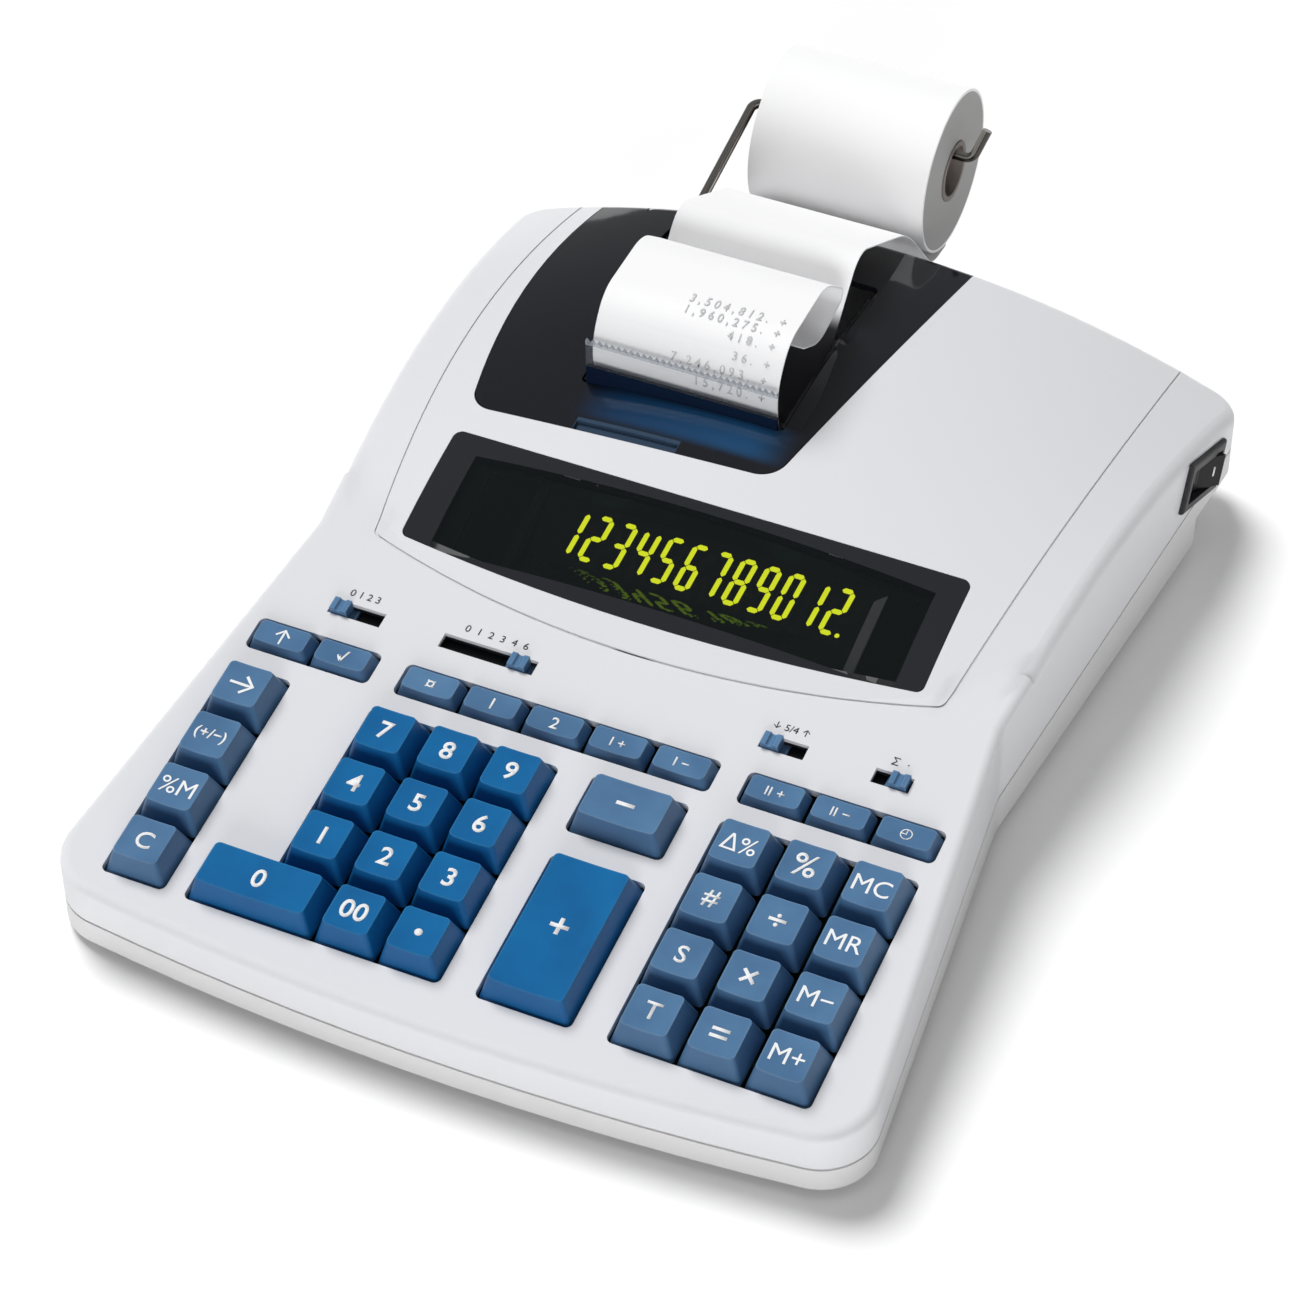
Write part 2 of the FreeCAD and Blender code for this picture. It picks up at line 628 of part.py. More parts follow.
def key_form(name, cell_width, cell_depth, rise, taper):
    """A hollow tapered key cap with a dished top and a square stem, on the deck plane."""
    body = new_body(f"form_{name}")
    width = f"{cell_width} - Sizes.key_gap"
    depth = f"{cell_depth} - Sizes.key_gap"
    base = new_sketch(body, f"{name}_base", level="-Sizes.key_skirt")
    centred_rectangle(base, width, depth)
    block = pad(body, base, f"{name}_block", f"{rise} + Sizes.key_skirt")

    cap = body.newObject("PartDesign::Draft", f"{name}_cap")
    cap.Base = (block, faces_facing(block, lambda normal: abs(normal.z) < 0.1))
    cap.NeutralPlane = (block, faces_facing(block, lambda normal: normal.z < -0.9))
    cap.setExpression("Angle", f"atan({taper} / 2 / ({rise} + Sizes.key_skirt))")
    doc.recompute()
    if cap.Shape.Volume >= block.Shape.Volume:
        cap.Reversed = True
        doc.recompute()

    corners = body.newObject("PartDesign::Fillet", f"{name}_corners")
    corners.Base = (cap, slanted_edges(cap))
    corners.setExpression("Radius", "Sizes.key_corner_radius")
    doc.recompute()

    dish = new_sketch(body, f"{name}_dish", role="XZ_Plane")
    half_top = f"(({width} - {taper}) / 2)"
    dish_radius = f"{half_top} * {half_top} / (2 * Sizes.dish_depth)"
    circle_at(dish, dish_radius, "0", f"{rise} - Sizes.dish_depth + {dish_radius}")
    pocket(body, dish, f"{name}_dish_cut", f"2 * ({cell_depth})", midplane=True)

    hollow = new_sketch(body, f"{name}_hollow", level="-Sizes.key_skirt")
    inner = f"({taper} + 2 * Sizes.key_wall)"
    centred_rectangle(hollow, f"{width} - {inner}", f"{depth} - {inner}")
    pocket(body, hollow, f"{name}_hollow_cut",
           f"{rise} + Sizes.key_skirt - Sizes.key_wall - Sizes.dish_depth", reverse=True)

    stem = new_sketch(body, f"{name}_stem", level="-Sizes.stem_reach")
    centred_rectangle(stem, "Sizes.stem_side", "Sizes.stem_side")
    pad(body, stem, f"{name}_stem_pad", f"Sizes.stem_reach + {rise} - Sizes.key_wall")
    return body


# Key layout: (node, form, cell corner x, cell corner run)

def key_layout():
    pitch = size("key_pitch")
    small_run = size("small_row_run")
    rows = []
    column = ("key_clear", "key_margin", "key_sign", "key_backspace")
    for i, name in enumerate(column):
        rows.append((name, "standard", size("left_column_x"), i * pitch))
    small_groups = (
        ("edit_keys_x", ("key_paper_feed", "key_root")),
        ("tax_keys_x", ("key_currency", "key_local", "key_rate", "key_tax_1_add",
                        "key_tax_1_less")),
        ("mode_keys_x", ("key_tax_2_add", "key_tax_2_less", "key_clock")),
    )
    for start, names in small_groups:
        for i, name in enumerate(names):
            rows.append((name, "small", size(start) + i * pitch, small_run))
    for i in range(9):
        x = size("number_pad_x") + (i % 3) * pitch
        rows.append((f"key_{i + 1}", "standard", x, (1 + i // 3) * pitch))
    rows.append(("key_0", "wide", size("number_pad_x") - pitch, 0.0))
    rows.append(("key_00", "standard", size("number_pad_x") + pitch, 0.0))
    rows.append(("key_point", "standard", size("number_pad_x") + 2 * pitch, 0.0))
    rows.append(("key_plus", "plus", size("plus_key_x"), 0.0))
    rows.append(("key_minus", "minus", size("minus_key_x"), size("minus_key_run")))
    pads = (
        ("key_total", "key_subtotal", "key_number_date", "key_percent_change"),
        ("key_equals", "key_times", "key_divide", "key_percent"),
        ("key_memory_add", "key_memory_less", "key_memory_recall", "key_memory_clear"),
    )
    for c, names in enumerate(pads):
        for i, name in enumerate(names):
            x = size("operator_pad_x") + c * pitch
            rows.append((name, "standard", x, i * pitch))
    return rows


def cell_size(form):
    width, depth = KEY_FORMS[form][:2]
    return value_of(width), value_of(depth)


KEYS = key_layout()
forms = {name: key_form(name, *rules) for name, rules in KEY_FORMS.items()}

key_nodes = []
for node, form, cell_x, cell_run in KEYS:
    cell_width, cell_depth = cell_size(form)
    seat = deck_place(cell_x + cell_width / 2, cell_run + cell_depth / 2)
    shape = forms[form].Shape.copy()
    key_nodes.append(new_shape(node, shape, CASING.multiply(seat)))


# Upper casing

def deck_cut(x0, x1, run0, run1, radius):
    """A cut through the deck along its normal, with round corners."""
    cut = Part.makeBox(x1 - x0, run1 - run0, 2 * DEEP, Vector(x0, run0, -8.0))
    corners = [(x, y) for x in (x0, x1) for y in (run0, run1)]
    cut = cut.makeFillet(radius, upright_edges(cut, corners))
    cut.Placement = deck_place(0, 0)
    return cut


def deck_block(x0, x1, run0, run1, level0, level1):
    block = box_between(x0, x1, run0, run1, level0, level1)
    block.Placement = deck_place(0, 0)
    return block


def key_openings():
    """One opening for each block of neighbouring keys."""
    pitch, margin = size("key_pitch"), size("opening_margin")
    small_run = size("small_row_run")
    small_end = small_run + size("small_key_depth")
    number_x, operator_x = size("number_pad_x"), size("operator_pad_x")
    blocks = [
        (size("left_column_x"), pitch, 0, 4 * pitch),
        (size("edit_keys_x"), 2 * pitch, small_run, small_end),
        (size("tax_keys_x"), 5 * pitch, small_run, small_end),
        (size("mode_keys_x"), 3 * pitch, small_run, small_end),
        (number_x, 3 * pitch, 0, 4 * pitch),
        (number_x - pitch, 2 * pitch, 0, pitch),
        (size("plus_key_x"), size("plus_key_width"), 0, size("plus_key_depth")),
        (size("minus_key_x"), size("minus_key_width"), size("minus_key_run"),
         size("minus_key_run") + size("minus_key_depth")),
        (operator_x, 3 * pitch, 0, 4 * pitch),
    ]
    radius = size("opening_radius")
    return [deck_cut(x - margin, x + width + margin, start - margin, end + margin, radius)
            for x, width, start, end in blocks]


# Slide switches: (node, slot start x, slot end x, knob middle x)
SLIDES = (
    ("slide_print_mode", -86.9, -70.6, -83.6),
    ("slide_decimal", -52.1, -23.2, -28.2),
    ("slide_rounding", 45.0, 58.2, 48.2),
    ("slide_grand_total", 78.0, 89.0, 85.6),
)
PLATE_OVERHANG = 2.0
PLATE_THICKNESS = 1.2


def slide_guide(start, end):
    """A closed channel under a slot, in which the knob's plate runs."""
    half = size("slot_width") / 2
    gap, wall = size("slide_gap"), 1.2
    reach = PLATE_OVERHANG + gap
    run = size("slot_run")
    roof = -size("wall")
    floor = roof - PLATE_THICKNESS - 2 * gap
    outer = deck_block(start - reach - wall, end + reach + wall, run - half - reach - wall,
                       run + half + reach + wall, floor - wall, roof + 0.3)
    inner = deck_block(start - reach, end + reach, run - half - reach, run + half + reach,
                       floor, roof)
    return outer.cut(inner)


SCREW_POSTS = ((109.0, 8.0), (96.0, 124.0), (107.0, 250.0))


def screw_posts(upper):
    """Posts that join the shells; the upper ones reach into the casing's skin."""
    posts = []
    joint = size("post_joint_height")
    for x, run in SCREW_POSTS:
        for side in (-1, 1):
            if upper:
                foot = Vector(side * x, run, joint)
                post = Part.makeCylinder(size("post_radius") - 0.5, DEEP, foot)
            else:
                foot = Vector(side * x, run, 0.5)
                post = Part.makeCylinder(size("post_radius"), joint - 0.5, foot)
            posts.append(post)
    return posts


def switch_frame():
    """Place of the power switch: X points out of the wall, Y along the switch to the back."""
    share = (size("switch_run") - size("waist_run")) / (size("rear_run") - size("waist_run"))
    flare = (size("rear_width") - size("waist_width")) / 2
    x = size("waist_width") / 2 + flare * share
    along_wall = math.degrees(math.atan2(flare, size("rear_run") - size("waist_run")))
    turn = Rotation(Z_AXIS, -along_wall).multiply(Rotation(X_AXIS, -size("switch_tilt")))
    return Placement(Vector(x, size("switch_run"), size("switch_height")), turn)


def switch_box(depth_in, depth_out, length, width):
    box = box_between(-depth_in, depth_out, -length / 2, length / 2, -width / 2, width / 2)
    box.Placement = switch_frame()
    return box


SWITCH_RIM = 1.5


def switch_hole():
    return switch_box(DEEP / 4, 6.0, size("switch_length") - 2 * SWITCH_RIM,
                      size("switch_width") - 2 * SWITCH_RIM)


def hinge_ears():
    """Two ears in the back of the casing that carry the cover's hinge pins."""
    radius = size("hinge_barrel_radius")
    width = size("hinge_lug_width")
    gap = size("slide_gap")
    run, height = size("cover_hinge_run"), size("cover_hinge_height")
    ears, bores = [], []
    for start in (size("hinge_left_x") - gap - width, size("hinge_right_x") + gap):
        barrel = Part.makeCylinder(radius, width, Vector(start, run, height), X_AXIS)
        web = box_between(start, start + width, run - radius, size("rear_run") - 0.5,
                          height - 9.0, height)
        ears.append(barrel.fuse(web))
        bore_radius = size("hinge_pin_radius") + size("bearing_gap")
        bores.append(Part.makeCylinder(bore_radius, width + 2, Vector(start - 1, run, height),
                                       X_AXIS))
    return ears, bores


TUBE_HOLDER = 3.0


def tube_holders():
    """Two plates that hang from the window's ledges and carry the display tube's ends."""
    half = size("tube_width") / 2
    ledge_low = size("window_thickness") + size("slide_gap") + size("ledge_thickness")
    under = hump_block(ledge_low - 0.3)
    front, rear = size("window_front_run"), size("window_rear_run") + size("ledge_width")
    plates = []
    for x in (size("tube_centre_x") - half - TUBE_HOLDER, size("tube_centre_x") + half):
        plate = box_between(x, x + TUBE_HOLDER, front, rear,
                            size("tube_centre_height") - 11.0, 2 * DEEP)
        plates.append(plate.common(under))
    return plates


SKIRT_GAP = 1.5


def upper_casing():
    """The upper shell with its openings, ledges, posts and switch guides."""
    outer = outer_form()
    skin = outer.cut(inner_form(size("wall")))
    skin = skin.common(above_parting())
    ledge_top = size("window_thickness") + size("slide_gap")
    ledge_low = ledge_top + size("ledge_thickness")
    ledge_width = size("ledge_width")
    ledge_band = hump_block(ledge_top).cut(hump_block(ledge_low))
    window_ring = window_prism(ledge_width).cut(window_prism(-ledge_width))
    cover_ring = cover_prism(ledge_width).cut(cover_prism(-ledge_width))
    skirt = size("cover_skirt_height")
    above_skirt = box_between(-FAR / 2, FAR / 2, 0, FAR, skirt - SKIRT_GAP, 2 * DEEP)
    ahead = box_between(-FAR / 2, FAR / 2, 0, size("rear_run") - size("wall"),
                        skirt + SKIRT_GAP, 2 * DEEP)
    inside_top = inner_form(size("wall") - 0.3)

    skin = skin.cut(window_prism(0.0))
    skin = skin.cut(cover_prism(size("fit_gap")).common(above_skirt))
    adds = [ledge_band.common(window_ring)]
    adds.append(ledge_band.common(cover_ring).common(ahead))
    for post in screw_posts(True):
        adds.append(post.common(inside_top))
    adds += tube_holders()
    adds += [slide_guide(start, end) for _, start, end, _ in SLIDES]
    ears, bores = hinge_ears()
    adds += ears
    skin = skin.fuse(adds)

    cuts = key_openings()
    half = size("slot_width") / 2
    for _, start, end, _ in SLIDES:
        slot = box_between(start, end, size("slot_run") - half, size("slot_run") + half,
                           -size("wall") - 0.1, 5.0)
        slot.Placement = deck_place(0, 0)
        cuts.append(slot)
    cuts += bores
    cuts.append(switch_hole())
    depth = size("seam_depth")
    cuts.append(seam_strip().cut(hump_block(depth)).cut(deck_wedge(depth)))
    return skin.cut(cuts)


new_shape("upper_casing", upper_casing())


# Lower casing

FEET = ((95.0, 4.0), (102.0, 245.0))
BOARD_POSTS = ((-98.0, 30.0), (98.0, 30.0), (-70.0, 106.0), (70.0, 106.0), (0.0, 50.0))


def lower_casing():
    """The tray: a floor that steps up at the back, walls, posts and foot recesses."""
    wall = size("wall")
    step_run, step_height = size("undercut_run"), size("undercut_height")
    floor = box_between(-FAR / 2, FAR / 2, -DEEP, FAR, 0, 2 * DEEP)
    outer = plan_prism().common(floor).cut(above_parting())
    outer = outer.cut(box_between(-FAR / 2, FAR / 2, step_run, FAR, -1, step_height))
    inner = plan_prism(wall)
    inner_floor = box_between(-FAR / 2, FAR / 2, -DEEP, FAR, wall, 2 * DEEP)
    inner = inner.common(inner_floor)
    inner = inner.cut(box_between(-FAR / 2, FAR / 2, step_run - wall, FAR, 0, step_height + wall))
    tray = outer.cut(inner)
    groove = size("parting_groove")
    ring = plan_prism().cut(plan_prism(groove)).common(above_parting(groove * 1.6))
    tray = tray.cut(ring)

    adds = screw_posts(False)
    under_board = size("board_level") - size("board_thickness")
    board_low = deck_block(-FAR / 2, FAR / 2, -DEEP, FAR / 2, under_board - 2 * DEEP, under_board)
    for x, run in BOARD_POSTS:
        foot = deck_point(x, run)
        post = Part.makeCylinder(3.0, DEEP, Vector(foot.x, foot.y, 0.5))
        adds.append(post.common(board_low))
    for x in (size("paper_centre_x") - 24.0, size("paper_centre_x") + 24.0):
        for run in (size("frame_front_run") + 10.0, step_run - 10.0):
            adds.append(Part.makeCylinder(4.0, size("frame_base_height") - 0.5,
                                          Vector(x, run, 0.5)))
    tray = tray.fuse(adds)

    cuts = [switch_hole()]
    for x, run in SCREW_POSTS:
        for side in (-1, 1):
            cuts.append(Part.makeCylinder(size("screw_bore_radius"), DEEP,
                                          Vector(side * x, run, -1)))
    for x, run in FEET:
        for side in (-1, 1):
            cuts.append(Part.makeCylinder(size("foot_radius"), size("foot_recess") + 1,
                                          Vector(side * x, run, -1)))
    return tray.cut(cuts)


new_shape("lower_casing", lower_casing())


# Rubber feet, four alike

def rubber_feet():
    pieces = []
    for x, run in FEET:
        for side in (-1, 1):
            foot = doc.addObject("Part::Cylinder", "foot")
            foot.setExpression("Radius", "Sizes.foot_radius")
            foot.setExpression("Height", "Sizes.foot_rise + Sizes.foot_recess")
            foot.Placement = CASING.multiply(Placement(
                Vector(side * x, run, -size("foot_rise")), Rotation()))
            pieces.append(foot)
    group = doc.addObject("Part::Compound", "rubber_feet")
    group.Label = "rubber_feet"
    group.Links = pieces


rubber_feet()


# Circuit board with the keys' guide sockets

def circuit_board():
    top = size("board_level")
    half = size("board_half_width")
    board = box_between(-half, half, size("board_front_run"), size("board_rear_run"),
                        top - size("board_thickness"), top)
    inner = size("stem_side") / 2 + size("slide_gap")
    outer = inner + size("socket_wall")
    sockets = []
    bores = []
    for _, form, cell_x, cell_run in KEYS:
        cell_width, cell_depth = cell_size(form)
        x, run = cell_x + cell_width / 2, cell_run + cell_depth / 2
        sockets.append(box_between(x - outer, x + outer, run - outer, run + outer,
                                   top, size("socket_level")))
        bores.append(box_between(x - inner, x + inner, run - inner, run + inner,
                                 top + 0.2, size("socket_level") + 1))
    return board.fuse(sockets).cut(bores)


new_shape("circuit_board", circuit_board(), CASING.multiply(deck_place(0, 0)))


# Slide switch knobs

def slide_knob(node, middle):
    """A ribbed knob on a plate that runs under the deck."""
    body = new_body(node)
    roof = "-Sizes.wall - Sizes.slide_gap"
    plate = new_sketch(body, f"{node}_plate", level=f"{roof} - {PLATE_THICKNESS}")
    centred_rectangle(plate, f"Sizes.knob_length + {2 * PLATE_OVERHANG - 0.6}",
                    f"Sizes.slot_width + {2 * PLATE_OVERHANG}")
    pad(body, plate, f"{node}_plate_pad", str(PLATE_THICKNESS))
    knob = new_sketch(body, f"{node}_knob", level=f"{roof} - 0.2")
    centred_rectangle(knob, "Sizes.knob_length", "Sizes.slot_width - 2 * Sizes.slide_gap")
    pad(body, knob, f"{node}_knob_pad", "Sizes.knob_rise + Sizes.wall + Sizes.slide_gap + 0.2")
    grip = new_sketch(body, f"{node}_grip", role="XZ_Plane")
    circle_at(grip, "1.1", "0", "Sizes.knob_rise + 0.35")
    pocket(body, grip, f"{node}_grip_cut", "2 * Sizes.slot_width", midplane=True)
    body.Placement = CASING.multiply(deck_place(middle, size("slot_run")))


for slide_node, _, _, knob_x in SLIDES:
    slide_knob(slide_node, knob_x)


# Display window and display tube

def display_window():
    skin = hump_block().common(window_prism(-0.2))
    return skin.cut(hump_block(size("window_thickness") + size("slide_gap")))


new_shape("display_window", display_window())


def display_tube():
    """The flat glass tube that shows the digits, between the holders in the hump."""
    body = new_body("display_tube")
    outline = new_sketch(body, "tube_outline", role="YZ_Plane",
                         level="-Sizes.tube_width / 2")
    rounded_rectangle(outline, "Sizes.tube_height", "Sizes.tube_depth", "1.0")
    pad(body, outline, "tube_pad", "Sizes.tube_width")
    middle = Vector(size("tube_centre_x"), size("tube_run"), size("tube_centre_height"))
    turn = Rotation(X_AXIS, size("tube_tilt"))
    body.Placement = CASING.multiply(Placement(middle, turn))


display_tube()


# Printer cover

def paper_edges(extra=0.0):
    half = size("paper_width") / 2 + extra
    return size("paper_centre_x") - half, size("paper_centre_x") + half


def printer_cover():
    """The dark cover: a thin skin of the hump with a paper opening and a rear skirt."""
    wall = size("cover_wall")
    inner = plan_prism(wall).common(hump_block(wall))
    above = box_between(-FAR / 2, FAR / 2, 0, FAR, size("cover_skirt_height"), 2 * DEEP)
    plan = plan_prism()
    hump = plan.common(hump_block())
    hump = hump.makeFillet(size("hump_edge_radius"), top_rim_edges(hump, HUMP_RUNS[0]))
    skin = hump.common(cover_prism()).common(above).cut(inner)

    run, height = size("cover_hinge_run"), size("cover_hinge_height")
    width, gap = size("hinge_lug_width"), size("slide_gap")
    radius = size("hinge_barrel_radius")
    pin = size("hinge_pin_radius")
    adds = []
    ears_space = []
    sides = ((size("hinge_left_x"), 1, -1), (size("hinge_right_x"), -1, 1))
    for face, inward, outward in sides:
        start = min(face, face + inward * width)
        barrel = Part.makeCylinder(radius, width, Vector(start, run, height), X_AXIS)
        web = box_between(start, start + width, run - radius, run + 2.0, height, height + 14.0)
        adds.append(barrel.fuse(web.common(hump)))
        pin_length = width + gap
        pin_start = face if outward > 0 else face - pin_length
        pin_solid = Part.makeCylinder(pin, pin_length, Vector(pin_start, run, height), X_AXIS)
        adds.append(pin_solid)
        clear = width + 2 * gap
        clear_start = face if outward > 0 else face - clear
        ears_space.append(box_between(clear_start, clear_start + clear, run - radius - 1.0,
                                      FAR, 0, height + radius + 1.2))
    behind = box_between(-FAR / 2, FAR / 2, 0, size("rear_run"), 0, 2 * DEEP)
    skin = skin.cut(ears_space).fuse(adds).common(behind)

    left, right = paper_edges(size("paper_side_gap"))
    opening = box_between(left, right, size("exit_front_run"), size("exit_rear_run"), 0, 2 * DEEP)
    corners = [(x, y) for x in (left, right) for y in (size("exit_front_run"),
                                                       size("exit_rear_run"))]
    opening = opening.makeFillet(size("exit_corner_radius"), upright_edges(opening, corners))
    leg = size("wire_radius") + 1.6
    notch = box_between(size("arm_leg_x") - leg, size("arm_leg_x") + leg,
                        size("arm_pivot_run") - 8.0, FAR, 0, 2 * DEEP)
    grip = box_between(size("grip_left_x"), size("grip_right_x"),
                       size("cover_front_run") - 2.0, size("grip_run"), 0, 2 * DEEP)
    return skin.cut([opening, notch, grip.cut(hump_block(size("grip_depth")))])


new_shape("printer_cover", printer_cover())


# Tear bar: a clear plate with a row of teeth, fixed behind the front of the cover's opening

def tear_bar():
    side = size("paper_side_gap") - size("exit_corner_radius")
    left, right = paper_edges(side)
    front = size("exit_front_run") + 0.1
    top, rear = size("tear_top_height"), front + size("tear_thickness")
    plate = box_between(left, right, front, rear, hump_height(front) - size("tear_hang"), top)
    teeth = []
    pitch, depth = size("tear_tooth_pitch"), size("tear_tooth_depth")
    count = int((right - left) / pitch)
    for i in range(count):
        x = left + (right - left - count * pitch) / 2 + i * pitch
        points = [Vector(x, 0, top + 0.1), Vector(x + pitch / 2, 0, top - depth),
                  Vector(x + pitch, 0, top + 0.1), Vector(x, 0, top + 0.1)]
        teeth.append(Part.Face(Part.makePolygon(points)).extrude(Vector(0, FAR, 0)))
    plate = plate.cut(teeth)
    under_cover = hump_block(size("cover_wall")).cut(hump_block(2 * size("cover_wall")))
    length, width = size("tear_foot_length"), size("tear_foot_width")
    feet = []
    for x in (left, right - width):
        foot = box_between(x, x + width, front - length, rear, 0, 2 * DEEP)
        feet.append(foot.common(under_cover))
    return plate.fuse(feet)


new_shape("tear_bar", tear_bar())


# Paper arm: one bent wire, pivoted in the printer frame, with the axle of the roll

def rounded_path(points, radii):
    """Straight runs joined by tangent arcs."""
    edges = []
    begin = points[0]
    corners = zip(radii, points, points[1:], points[2:])
    for radius, before, corner, after in corners:
        back = (before - corner).normalize()
        ahead = (after - corner).normalize()
        half_angle = back.getAngle(ahead) / 2
        reach = radius / math.tan(half_angle)
        first, last = corner + back * reach, corner + ahead * reach
        bisector = (back + ahead).normalize()
        centre = corner + bisector * (radius / math.sin(half_angle))
        if (first - begin).Length > 1e-6:
            edges.append(line_between(begin, first))
        edges.append(arc_through(first, centre - bisector * radius, last))
        begin = last
    edges.append(line_between(begin, points[-1]))
    return Part.Wire(edges)


def axle_height():
    """The roll hangs on the axle, so the axle is high in the roll's bore."""
    return (size("roll_height") + size("roll_bore_radius") - size("wire_radius")
            - size("bearing_gap"))


def frame_planes():
    """Inner faces of the printer frame's side plates."""
    return paper_edges(size("frame_side_gap"))


def paper_arm():
    pivot_run, pivot_height = size("arm_pivot_run"), size("arm_pivot_height")
    leg_x, hook_x = size("arm_leg_x"), size("arm_hook_x")
    roll_run, axle = size("roll_run"), axle_height()
    inner_end = frame_planes()[0] + 0.6
    points = [
        Vector(inner_end, pivot_run, pivot_height),
        Vector(leg_x, pivot_run, pivot_height),
        Vector(leg_x, roll_run, axle),
        Vector(hook_x, roll_run, axle),
        Vector(hook_x + 3.0, roll_run + 4.0, axle + size("arm_hook_rise")),
    ]
    bend = size("arm_bend_radius") - 0.5
    path = rounded_path(points, [bend, bend, bend])
    circle = Part.Wire(Part.makeCircle(size("wire_radius"), points[0], X_AXIS))
    return path.makePipeShell([circle], True, True)


new_shape("paper_arm", paper_arm())


# Paper roll: paper wound on a core that stands a little proud at both ends

def paper_roll():
    body = new_body("paper_roll")
    end = new_sketch(body, "roll_end", role="YZ_Plane")
    circle_at(end, "Sizes.roll_radius")
    pad(body, end, "roll_paper", "Sizes.paper_width", midplane=True)
    core = new_sketch(body, "roll_core", role="YZ_Plane")
    circle_at(core, "Sizes.roll_core_radius")
    pad(body, core, "roll_core_pad", "Sizes.paper_width + 2 * Sizes.roll_core_proud",
        midplane=True)
    bore = new_sketch(body, "roll_bore", role="YZ_Plane")
    circle_at(bore, "Sizes.roll_bore_radius")
    pocket(body, bore, "roll_bore_cut", "2 * Sizes.paper_width", midplane=True)
    middle = Vector(size("paper_centre_x"), size("roll_run"), size("roll_height"))
    body.Placement = CASING.multiply(Placement(middle, Rotation()))


paper_roll()


# Rollers of the printer

def roller(node, radius, shaft, run, height):
    """A roller on its shaft, whose ends turn in the printer frame."""
    body = new_body(node)
    tyre = new_sketch(body, f"{node}_tyre", role="YZ_Plane")
    circle_at(tyre, radius)
    pad(body, tyre, f"{node}_tyre_pad", "Sizes.paper_width - 2 * Sizes.slide_gap", midplane=True)
    axle = new_sketch(body, f"{node}_axle", role="YZ_Plane")
    circle_at(axle, shaft)
    pad(body, axle, f"{node}_axle_pad",
        "Sizes.paper_width + 2 * Sizes.frame_side_gap + 2 * Sizes.frame_wall + 3",
        midplane=True)
    middle = Vector(size("paper_centre_x"), run, height)
    body.Placement = CASING.multiply(Placement(middle, Rotation()))


roller("feed_roller", "Sizes.feed_roller_radius", "Sizes.feed_shaft_radius",
       size("feed_roller_run"), size("feed_roller_height"))
roller("ink_roller", "Sizes.ink_roller_radius", "Sizes.ink_shaft_radius",
       size("ink_roller_run"), size("ink_roller_height"))


# Printer frame: two side plates on a base, with bearings for the rollers and the arm

def printer_frame():
    left, right = frame_planes()
    wall = size("frame_wall")
    front, rear = size("frame_front_run"), size("frame_rear_run")
    base, top = size("frame_base_height"), size("frame_top_height")
    step_run, step_height = size("undercut_run"), size("undercut_height")
    outline = [
        (front, base), (step_run - 6.0, base), (step_run - 6.0, step_height + 8.0),
        (rear, step_height + 8.0), (rear, top), (rear - 12.0, top), (rear - 22.0, top - 16.0),
        (front + 44.0, top - 16.0), (front + 42.0, top - 4.0), (front, top - 4.0),
    ]
    points = [Vector(left - wall, y, z) for y, z in outline]
    side = Part.Face(Part.makePolygon(points + points[:1]))
    block = side.extrude(Vector(right - left + 2 * wall, 0, 0))
    inside = box_between(left, right, front - 1, rear + 1, base + wall, top + 1)
    middle_x = size("paper_centre_x")
    holes = []
    bearings = (
        (size("feed_shaft_radius"), size("feed_roller_run"), size("feed_roller_height")),
        (size("ink_shaft_radius"), size("ink_roller_run"), size("ink_roller_height")),
        (size("wire_radius"), size("arm_pivot_run"), size("arm_pivot_height")),
    )
    for radius, run, height in bearings:
        start = Vector(middle_x - FAR / 4, run, height)
        holes.append(Part.makeCylinder(radius + size("bearing_gap"), FAR / 2, start, X_AXIS))
    return block.cut([inside] + holes)


new_shape("printer_frame", printer_frame())


# Paper: one sheet from the roll, over the back of the cover, round the feed roller and out

def paper_strip():
    left, right = paper_edges()
    feed = size("feed_roller_radius") + size("slide_gap") + size("paper_sheet") / 2
    run, height = size("feed_roller_run"), size("feed_roller_height")
    roll_low = size("roll_height") - size("roll_radius") - size("slide_gap") - 0.4

    def at(y, z):
        return Vector(left, y, z)

    points = [
        at(size("roll_run") - 3.0, roll_low),
        at(325.0, roll_low + 1.0),
        at(301.5, 57.0),
        at(262.0, 79.0),
        at(242.0, 58.0),
        at(run + feed + 1.5, height),
        at(run + feed, height - feed),
        at(run - feed, height - feed),
        at(run - feed, height + feed + 3),
        at(200.0, 72.0),
        at(209.0, 84.5),
        at(236.0, 85.5),
        at(253.0, 71.5),
        at(232.0, 67.0),
        at(220.0, 74.0),
    ]
    radii = [12.0, 40.0, 9.0, 40.0, 12.0, feed - 0.6, feed - 0.6, 14.0, 18.0, 12.0, 16.0, 3.0, 14.0]
    path = rounded_path(points, radii)
    ribbon = path.makeOffset2D(size("paper_sheet") / 2, 0, False, True)
    other = path.makeOffset2D(-size("paper_sheet") / 2, 0, False, True)
    ends = [
        line_between(ribbon.OrderedVertexes[0].Point, other.OrderedVertexes[0].Point),
        line_between(ribbon.OrderedVertexes[-1].Point, other.OrderedVertexes[-1].Point),
    ]
    outline = Part.Wire(Part.__sortEdges__(ribbon.Edges + other.Edges + ends))
    return Part.Face(outline).extrude(Vector(right - left, 0, 0))


new_shape("paper_strip", paper_strip())


# Power switch: a housing with a bezel in the right wall, and its rocker

ROCKER_SINK = 2.0


